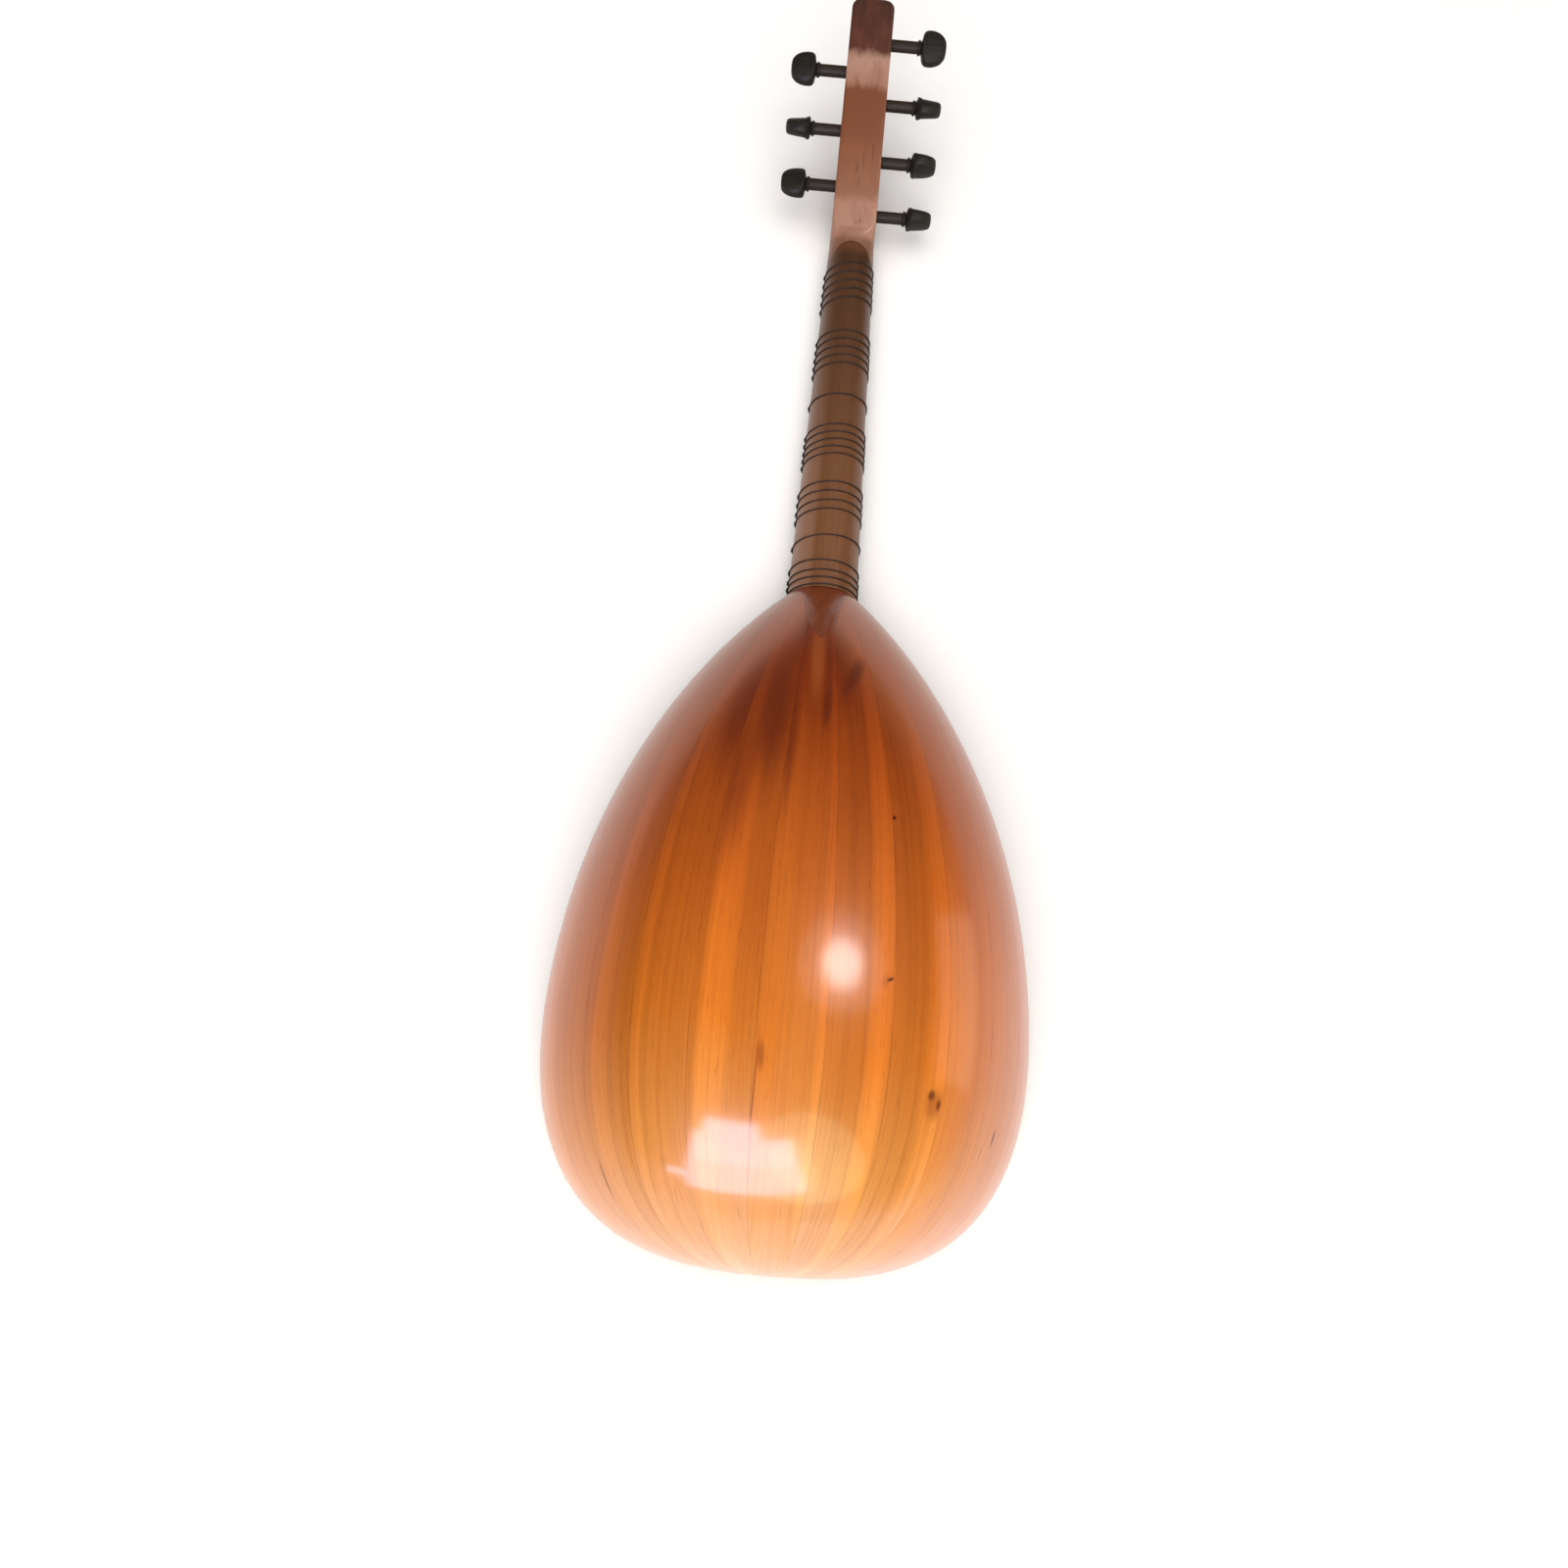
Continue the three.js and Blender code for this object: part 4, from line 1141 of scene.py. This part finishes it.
def make_bridge(material):
    base = SOUNDBOARD_FRONT - GAP
    wing = [(0.02, 0.0), (0.0165, 0.0012), (0.0135, 0.004), (0.0115, base - 0.0042), (0.008, base - 0.0033),
            (0.003, base - 0.0026), (0, base - 0.0016), (0, base)]
    right = [(BRIDGE_HALF_WIDTH - x, z) for x, z in wing]
    profile = [(-x, z) for x, z in right[::-1]] + right

    def place(across, height, along):
        return (across, NUT_Y - SCALE_LENGTH - along, height)

    piece = extrude("tie_bridge", profile, 0, BRIDGE_LENGTH, place)
    soften(piece, 0.0006, 3, 40)
    holes = []
    for x in STRING_AT_NUT:
        centre = (x * BRIDGE_SPREAD, STRING_HEIGHT_AT_BRIDGE)
        holes.append(circle(centre, STRING_HOLE_RADIUS, (1, 0), (0, 1), 14))
    cut_openings(piece, holes, -BEYOND, BRIDGE_LENGTH + BEYOND, place)
    settle(piece, "dark_wood", material, "bridge", axes=CROSSWISE)


def in_pegbox(x, reach, under):
    """A point given in the tilted pegbox's own directions, in the frame."""
    c = cos(PEGBOX_TILT)
    s = sin(PEGBOX_TILT)
    return (x, NUT_Y + reach * c + under * s, NECK_BACK_AT_NUT + reach * s - under * c)


def peg_side(index):
    """1 for a peg whose knob is on the bass side, -1 on the treble side."""
    return 1 if index % 2 == 0 else -1


def peg_place(index):
    """A peg's distance along the pegbox, from its joint."""
    joint = Vector(frame["joints"][index]["pos_m"])
    return (joint.y - NUT_Y) * cos(PEGBOX_TILT) + (joint.z - NECK_BACK_AT_NUT) * sin(PEGBOX_TILT)


def string_ends(i):
    """Where a string leaves the bridge and crosses the nut, and where it meets its peg."""
    x = STRING_AT_NUT[i]
    radius = SHAFT_RADIUS + WINDING_CLEARANCE + STRING_RADII[i]
    tail = (x * BRIDGE_SPREAD, NUT_Y - SCALE_LENGTH - BRIDGE_LENGTH - 0.0022, STRING_HEIGHT_AT_BRIDGE)
    bridge = (x * BRIDGE_SPREAD, NUT_Y - SCALE_LENGTH + 0.001, STRING_HEIGHT_AT_BRIDGE)
    nut = (x, NUT_Y - NUT_LENGTH / 2 - 0.0005, STRING_HEIGHT_AT_NUT)
    over = (x, NUT_Y + NUT_LENGTH / 2 + 0.0006, STRING_HEIGHT_AT_NUT)
    peg = in_pegbox(WINDING_AT[i], peg_place(STRING_PEGS[i]), PEG_DEPTH + radius)
    return tail, bridge, nut, over, peg


def make_strings(finishes):
    for i, radius in enumerate(STRING_RADII):
        route = [Vector(p) for p in string_ends(i)]
        path = []
        for a, b in zip(route, route[1:]):
            steps = max(int((b - a).length / 0.03), 2)
            path += [a.lerp(b, k / steps) for k in range(steps)]
        path.append(route[-1])
        tail = route[0]
        t = np.linspace(0, 1, 26)
        turn = 4 * pi * t
        size = 0.0007 + radius
        knot = np.stack([
            tail.x + size * np.sin(turn),
            tail.y - 0.0002 - radius - 0.0016 * t,
            tail.z + size * np.cos(turn),
        ], 1)
        bodies = [tube_rings(path, radius), tube_rings(knot, radius)]
        piece = many_lofts(f"stretched_string_{i + 1}", bodies, 60)
        settle(piece, *finishes[i], f"string_{i + 1}")


def make_windings(finishes):
    """The turns of each string round its peg, which go round with the peg."""
    turns = 3.6
    steps = 110
    for i, radius in enumerate(STRING_RADII):
        peg = STRING_PEGS[i]
        size = SHAFT_RADIUS + radius + WINDING_CLEARANCE
        direction = 1 if WINDING_AT[i] < 0 else -1
        points = []
        for k in range(steps + 1):
            share = k / steps
            angle = 2 * pi * turns * share
            x = WINDING_AT[i] + direction * turns * share * radius * 2.1
            reach = peg_place(peg) + size * sin(angle)
            points.append(in_pegbox(x, reach, PEG_DEPTH + size * cos(angle)))
        piece = loft(f"winding_{i + 1}", tube_rings(points, radius), 60)
        settle(piece, *finishes[i], body=f"peg_{peg + 1}")


# ---- pegbox ----

def pegbox_half_width(reach):
    share = np.clip(reach / PEGBOX_LENGTH, 0, 1)
    return PEGBOX_HALF_WIDTH + (PEGBOX_END_HALF_WIDTH - PEGBOX_HALF_WIDTH) * share


def end_corner(turn):
    """The round corner of the pegbox's far end, as half width and reach."""
    across = PEGBOX_END_HALF_WIDTH - END_CORNER + END_CORNER * cos(turn)
    return across, PEGBOX_LENGTH - END_CORNER + END_CORNER * sin(turn)


def boxy_arc(half, foot, squareness):
    """A section's back, from a half ellipse (squareness 0) to a flat board with rounded edges (1)."""
    turns = np.linspace(0, pi, 46)
    power = 1 - 0.86 * squareness
    x = half * np.sign(np.cos(turns)) * np.abs(np.cos(turns)) ** power
    z = foot - foot * np.abs(np.sin(turns)) ** power
    return x, z


def pegbox_ring(reach, squareness, foot, lean):
    """A ring across the pegbox or its root, leaning with it by a share of its tilt."""
    soft = NECK_CORNER
    if reach > 0:
        half = pegbox_half_width(reach)
        y = NUT_Y + reach * cos(PEGBOX_TILT)
        z = NECK_BACK_AT_NUT + reach * sin(PEGBOX_TILT)
    else:
        half = neck_half_width(-reach)
        y = NUT_Y + reach
        z = neck_back(-reach)
    round_foot = NECK_SIDE_TOP - NECK_BACK_AT_NUT
    across, up = boxy_arc(half, round_foot * (1 - squareness) + foot * squareness, squareness)
    up = np.concatenate([[foot, foot + soft], up, [foot + soft, foot]])
    across = np.concatenate([[half - soft, half], across, [-half, soft - half]])
    angle = PEGBOX_TILT * lean
    return np.stack([across, y - up * sin(angle), z + up * cos(angle)], 1)


def make_pegbox_back():
    """The pegbox's root and back in one: a round section at the neck that turns into a flat board."""
    start = tongue_edge(0.0001)
    rings = [neck_ring(start + (ROOT_TURN - start) * share) for share in (0, 0.02, 0.35, 0.7, 1)]
    root_foot = NECK_FRONT - NECK_BACK_AT_NUT
    board_foot = -PEGBOX_BACK_THICKNESS
    for share in np.linspace(0.15, 1, 8):
        eased = share * share * (3 - 2 * share)
        rings.append(pegbox_ring(0.0102 * share - ROOT_TURN, eased, root_foot, share))
    for foot in (root_foot, board_foot):
        rings.append(pegbox_ring(0.0023, 1, foot, 1))
    for reach in np.linspace(0.004, PEGBOX_LENGTH - END_CORNER, 30):
        rings.append(pegbox_ring(reach, 1, board_foot, 1))
    for turn in np.linspace(0.12, pi / 2, 9):
        across, reach = end_corner(turn)
        ring = pegbox_ring(reach, 1, board_foot, 1)
        ring[:, 0] *= across / PEGBOX_END_HALF_WIDTH
        rings.append(ring)
    return loft("pegbox_shell", rings, 45)


def pegbox_grain(piece):
    """Wood directions along the tilted pegbox, measured from the nut."""
    where = positions(piece)
    c = cos(PEGBOX_TILT)
    s = sin(PEGBOX_TILT)
    reach = (where[:, 1] - NUT_Y) * c + (where[:, 2] - NECK_BACK_AT_NUT) * s
    under = (where[:, 2] - NECK_BACK_AT_NUT) * c - (where[:, 1] - NUT_Y) * s
    write_vectors(piece, "grain", np.stack([where[:, 0], reach, under], 1))


def make_cheek(name, side):
    """A side board with a round hole for every peg."""
    top = PEGBOX_BACK_THICKNESS + CHEEK_GAP
    end = PEGBOX_LENGTH - END_BLOCK_LENGTH - CHEEK_GAP
    profile = [(CHEEK_START, top), (CHEEK_START, CHEEK_DEPTH), (end, CHEEK_END_DEPTH), (end, top)]

    def place(reach, under, height):
        return in_pegbox(side * height, reach, under)

    outer = PEGBOX_END_HALF_WIDTH
    inner = outer - CHEEK_THICKNESS
    piece = extrude(f"pegbox_side_{name}", profile, inner, outer, place)
    soften(piece, 0.0006)
    holes = []
    for index in range(len(PEG_TURNS)):
        radius = SHAFT_RADIUS if peg_side(index) == side else SHAFT_FAR_RADIUS + 0.0002
        holes.append(circle((peg_place(index), PEG_DEPTH), radius + PEG_CLEARANCE, (1, 0), (0, 1), 28))
    cut_openings(piece, holes, inner - BEYOND, outer + BEYOND, place)
    return piece


def make_pegbox_end():
    start = PEGBOX_LENGTH - END_BLOCK_LENGTH
    half = PEGBOX_END_HALF_WIDTH
    corner = [end_corner(turn) for turn in np.linspace(0, pi / 2, 12)]
    points = [(-half, start), (half, start)] + corner + [(-x, y) for x, y in corner[::-1]]
    top = PEGBOX_BACK_THICKNESS + CHEEK_GAP
    piece = extrude("pegbox_end_block", points, top, CHEEK_END_DEPTH, in_pegbox)
    soften(piece, 0.0005, 3, 50)
    return piece


def make_pegbox():
    tones = [(0.3, "55301c"), (0.7, "74452b")]
    wood = plain_wood("pegbox_wood", tones, "3a1a10", 0.45, 0.005, (0.5, 0.38), SATIN, extra=pegbox_zones)
    pieces = [
        (make_pegbox_back(), "pegbox_back"),
        (make_cheek("bass", 1), "pegbox_cheek_bass"),
        (make_cheek("treble", -1), "pegbox_cheek_treble"),
        (make_pegbox_end(), "pegbox_end"),
    ]
    for piece, node in pieces:
        pegbox_grain(piece)
        settle(piece, "pegbox_wood", wood, node)


# Places along a peg from the middle of the pegbox, with the knob's half sizes over its broad and thin sides.
PEG_SHAFT = [(-0.0169, 0.0034), (-0.0167, 0.0037), (-0.0163, 0.0038), (0.012, 0.00445), (0.0382, 0.00445)]
PEG_COLLAR = [
    (0.0384, 0.0048), (0.0387, 0.0053), (0.0393, 0.0057),
    (0.0399, 0.0057), (0.0405, 0.0053), (0.0409, 0.0047),
]
PEG_KNOB = [
    (0.0, 0.0046, 0.0046),
    (0.0006, 0.0064, 0.0064),
    (0.0012, 0.0092, 0.0078),
    (0.002, 0.0112, 0.0082),
    (0.0034, 0.0129, 0.0078),
    (0.005, 0.0137, 0.0071),
    (0.0075, 0.014, 0.0068),
    (0.0105, 0.0137, 0.0065),
    (0.0135, 0.0127, 0.0062),
    (0.0162, 0.011, 0.0059),
    (0.0184, 0.0085, 0.0054),
    (0.0197, 0.0058, 0.0044),
    (0.0202, 0.0028, 0.0024),
]


def make_pegs():
    material = ebony()
    sections = [(x, r, r) for x, r in PEG_SHAFT + PEG_COLLAR]
    sections = np.concatenate([sections, smooth_curve([(KNOB_START + x, b, t) for x, b, t in PEG_KNOB], 4)])
    turns = np.arange(48) * 2 * pi / 48
    for index, turned in enumerate(PEG_TURNS):
        side = peg_side(index)
        lean = radians(turned)
        rings = []
        grains = []
        for x, broad, thin in sections:
            flat = KNOB_FLATNESS if x > KNOB_START + 0.001 else 1.0
            u = broad * np.sign(np.cos(turns)) * np.abs(np.cos(turns)) ** flat
            v = thin * np.sign(np.sin(turns)) * np.abs(np.sin(turns)) ** flat
            reach = peg_place(index) + side * (u * cos(lean) - v * sin(lean))
            under = PEG_DEPTH - (u * sin(lean) + v * cos(lean))
            rings.append([in_pegbox(side * x, a, b) for a, b in zip(reach, under)])
            grains.append(np.stack([u, np.full(48, x), v + index], 1))
        piece = loft(f"turned_peg_{index + 1}", rings, 50)
        write_vectors(piece, "grain", np.concatenate(grains))
        settle(piece, "peg_wood", material, f"peg_{index + 1}", body=f"peg_{index + 1}")


# ---- pieces kept from the frame ----

def finish_inner_blocks():
    braces = plain_wood(
        "brace_spruce", [(0.3, "b58a55"), (0.7, "d8b481")], "8a6235", 0.3, 0.002, (0.7, 0.6),
        coordinates=object_grain(CROSSWISE))
    blocks = plain_wood(
        "block_lime", [(0.3, "ba9465"), (0.7, "d0ad7c")], "8f6a40", 0.3, 0.008, (0.75, 0.6),
        coordinates=object_grain(LENGTHWISE))
    for name, node in frame["nodes"].items():
        if name.startswith("brace_"):
            material = braces
        elif name.endswith("_block"):
            material = blocks
        else:
            continue
        node.data.materials.clear()
        node.data.materials.append(material)


# ---- floor, light and camera ----

def make_floor():
    half = 9.0
    corners = [(-half, -half, 0), (half, -half, 0), (half, half, 0), (-half, half, 0)]
    floor = new_piece("floor", corners, [(0, 1, 2, 3)])
    floor.data.materials.append(floor_material())


def area_light(name, shape, size, power, colour, at, turn):
    data = bpy.data.lights.new(name, "AREA")
    data.shape = shape
    data.size = size[0]
    data.size_y = size[1]
    data.energy = power
    data.color = colour
    light = add_object(name, data)
    light.matrix_world = Matrix.Translation(at) @ turn.to_4x4()
    return light


def fill_light(name, at, target, size, power, colour=(1, 1, 1)):
    """A wide soft light that isn't seen in the varnish."""
    turn = (Vector(target) - Vector(at)).to_track_quat("-Z", "Y").to_matrix()
    light = area_light(name, "RECTANGLE", size, power, colour, at, turn)
    light.visible_glossy = False
    light.visible_camera = False


CAMERA_AT = Vector((-0.01448, -0.44499, 0.7493))
CAMERA_LOOKS_AT = Vector((-0.01491, -0.20552, 0.1))
CAMERA_ROLL = radians(5.1)
CAMERA_LENS = 27.0
SENSOR = 36.0


def mirror_point(degrees, along, distance):
    """Where something must be for the camera to see its reflection at a spot of the bowl."""
    q = parameter_at(along)
    angle = radians(degrees)
    spot_at = Vector(bowl(angle, q))
    normal = -Vector(bowl_inwards(angle, q))
    sight = (spot_at - CAMERA_AT).normalized()
    return spot_at + (sight - 2 * sight.dot(normal) * normal) * distance


def mirrored_frame(spots, distance):
    """A flat panel's middle and turn, so that its reflection has its corners at four spots of the bowl."""
    top_left, top_right, low_left, low_right = (mirror_point(a, along, distance) for a, along in spots)
    centre = (top_left + top_right + low_left + low_right) / 4
    across = (top_right - top_left + low_right - low_left).normalized()
    upwards = top_left - low_left + top_right - low_right
    upwards = (upwards - across * upwards.dot(across)).normalized()
    out = across.cross(upwards)
    if out.dot(centre) < 0:
        out = -out
    return centre, Matrix((across, out.cross(across), out)).transposed()


def reflected_panel(name, placed, shift, size, radiance, colour, shape="RECTANGLE"):
    """A panel of light that is seen only in the varnish; shift is aside, up and away from the object."""
    centre, turn = placed
    power = radiance * pi * size[0] * size[1]
    light = area_light(name, shape, size, power, colour, centre + turn @ Vector(shift), turn)
    light.visible_diffuse = False
    light.visible_transmission = False


# The window's parts: shift aside and up, width and height, in metres at its distance, and radiance.
WINDOW_PARTS = [
    (-0.06, 0.56, 0.8, 0.26, 27),
    (0.1, 0.18, 1.38, 0.5, 24),
    (0.08, -0.37, 1.5, 0.6, 18),
    (-0.8, -0.42, 0.26, 0.12, 25),
]
# The glow beside the window: shift aside, width, height and radiance.
WINDOW_GLOW = [(1.12, 2.0, 2.0, 4.4), (1.05, 1.2, 1.3, 4.0)]
# The lamp's glow, from its bright middle outwards: height and radiance.
LAMP_DISCS = [(0.24, 19.0), (0.33, 6.5), (0.6, 2.4)]


def make_lights():
    """Soft fills from above and from the tail, and a window, a lamp and a pale wall seen in the varnish."""
    fill_light("overhead fill", (0, 0, 4.0), (0, 0, 0), (14, 14), 740)
    fill_light("tail side fill", (0, -2.2, 1.2), (0, -0.35, 0.05), (2.0, 2.0), 44, (1, 0.98, 0.96))
    window = mirrored_frame([(109.5, 0.6997), (89.8, 0.7011), (117, 0.7285), (81.5, 0.7295)], 2.0)
    for k, (aside, up, wide, high, radiance) in enumerate(WINDOW_PARTS):
        reflected_panel(f"window {k + 1}", window, (aside, up, 0), (wide, high), radiance, (0.78, 0.7, 1))
    for k, (aside, wide, high, radiance) in enumerate(WINDOW_GLOW):
        reflected_panel(
            f"glow {k + 1}", window, (aside, -0.05, 0), (wide, high), radiance, (0.7, 1, 0.6), "ELLIPSE")
    lamp = mirrored_frame([(82.5, 0.607), (79, 0.607), (82.5, 0.627), (79, 0.627)], 1.6)
    for k, (high, radiance) in enumerate(LAMP_DISCS):
        reflected_panel(
            f"lamp {k + 1}", lamp, (0, 0, 0.05 * k), (high * 1.9, high), radiance, (1, 0.95, 0.95), "ELLIPSE")
    wall = mirrored_frame([(59.5, 0.576), (47.5, 0.576), (59.5, 0.661), (47.5, 0.661)], 2.0)
    reflected_panel("pale wall", wall, (0, -0.1, 0), (0.8, 1.1), 3.0, (1, 0.8, 0.62))


def make_world():
    """A pale backdrop, and for the varnish a room that is bright low down and dim overhead."""
    world = bpy.data.worlds.new("soft room")
    bpy.context.scene.world = world
    pen = Pen(world)
    direction = pen.node("ShaderNodeTexCoord", {}).outputs["Generated"]
    x, y, z = pen.split(direction)
    sideways = pen.times(pen.math("ABSOLUTE", x), 0.15)
    low = pen.minus(z, sideways)
    brightness = pen.remap(low, 0.12, -0.02, 0.05, 0.9)
    brightness = pen.times(brightness, pen.remap(y, -0.2, 0.8, 1.0, 0.5))
    overhead = pen.remap(z, 0.55, 1.0, 0.0, 0.05)
    level = pen.plus(brightness, overhead)
    tint = pen.ramp(level, [(0.1, "c9987c"), (0.5, "f2c4ac"), (0.9, "ffdccb")])
    room = pen.node("ShaderNodeBackground", {"Color": tint, "Strength": level})
    backdrop = pen.node("ShaderNodeBackground", {"Color": "f6f3f0", "Strength": 1.0})
    seen = pen.node("ShaderNodeLightPath", {}).outputs["Is Camera Ray"]
    surface = pen.node("ShaderNodeMixShader", {0: seen, 1: room.outputs[0], 2: backdrop.outputs[0]})
    pen.node("ShaderNodeOutputWorld", {"Surface": surface.outputs[0]})


def make_camera():
    data = bpy.data.cameras.new("camera")
    data.lens = CAMERA_LENS
    data.sensor_width = SENSOR
    data.clip_start = 0.01
    camera = add_object("camera", data)
    turn = (CAMERA_LOOKS_AT - CAMERA_AT).to_track_quat("-Z", "Y") @ Quaternion((0, 0, 1), CAMERA_ROLL)
    camera.matrix_world = Matrix.Translation(CAMERA_AT) @ turn.to_matrix().to_4x4()
    bpy.context.scene.camera = camera
    bpy.context.scene.view_settings.view_transform = "Standard"


def main():
    make_camera()
    make_floor()
    make_world()
    make_lights()
    make_ribs()
    make_heel_cap()
    make_end_clasp()
    dark = plain_wood(
        "dark_wood", [(0.3, "2a170e"), (0.7, "47291a")], "120906", 0.6, 0.004, (0.45, 0.34), SATIN)
    spruce = plain_wood(
        "soundboard_spruce", [(0.35, "c08c4c"), (0.5, "d9ae72"), (0.65, "e2bd86")],
        "9c6c34", 0.2, 0.0013, (0.55, 0.45), {"Coat Weight": 0.4, "Coat Roughness": 0.25})
    make_soundboard(spruce)
    make_binding(dark)
    make_rosette()
    make_neck()
    make_fingerboard(dark)
    make_nut()
    make_frets()
    make_bridge(dark)
    plain = nylon("string_nylon", "c9bfa6", "e8e0cc", 0.25, {"Transmission Weight": 0.2})
    finishes = [("string_nylon", plain)] * 4 + [("string_wound", wound_string())] * 3
    make_strings(finishes)
    make_windings(finishes)
    make_pegbox()
    make_pegs()
    finish_inner_blocks()


main()
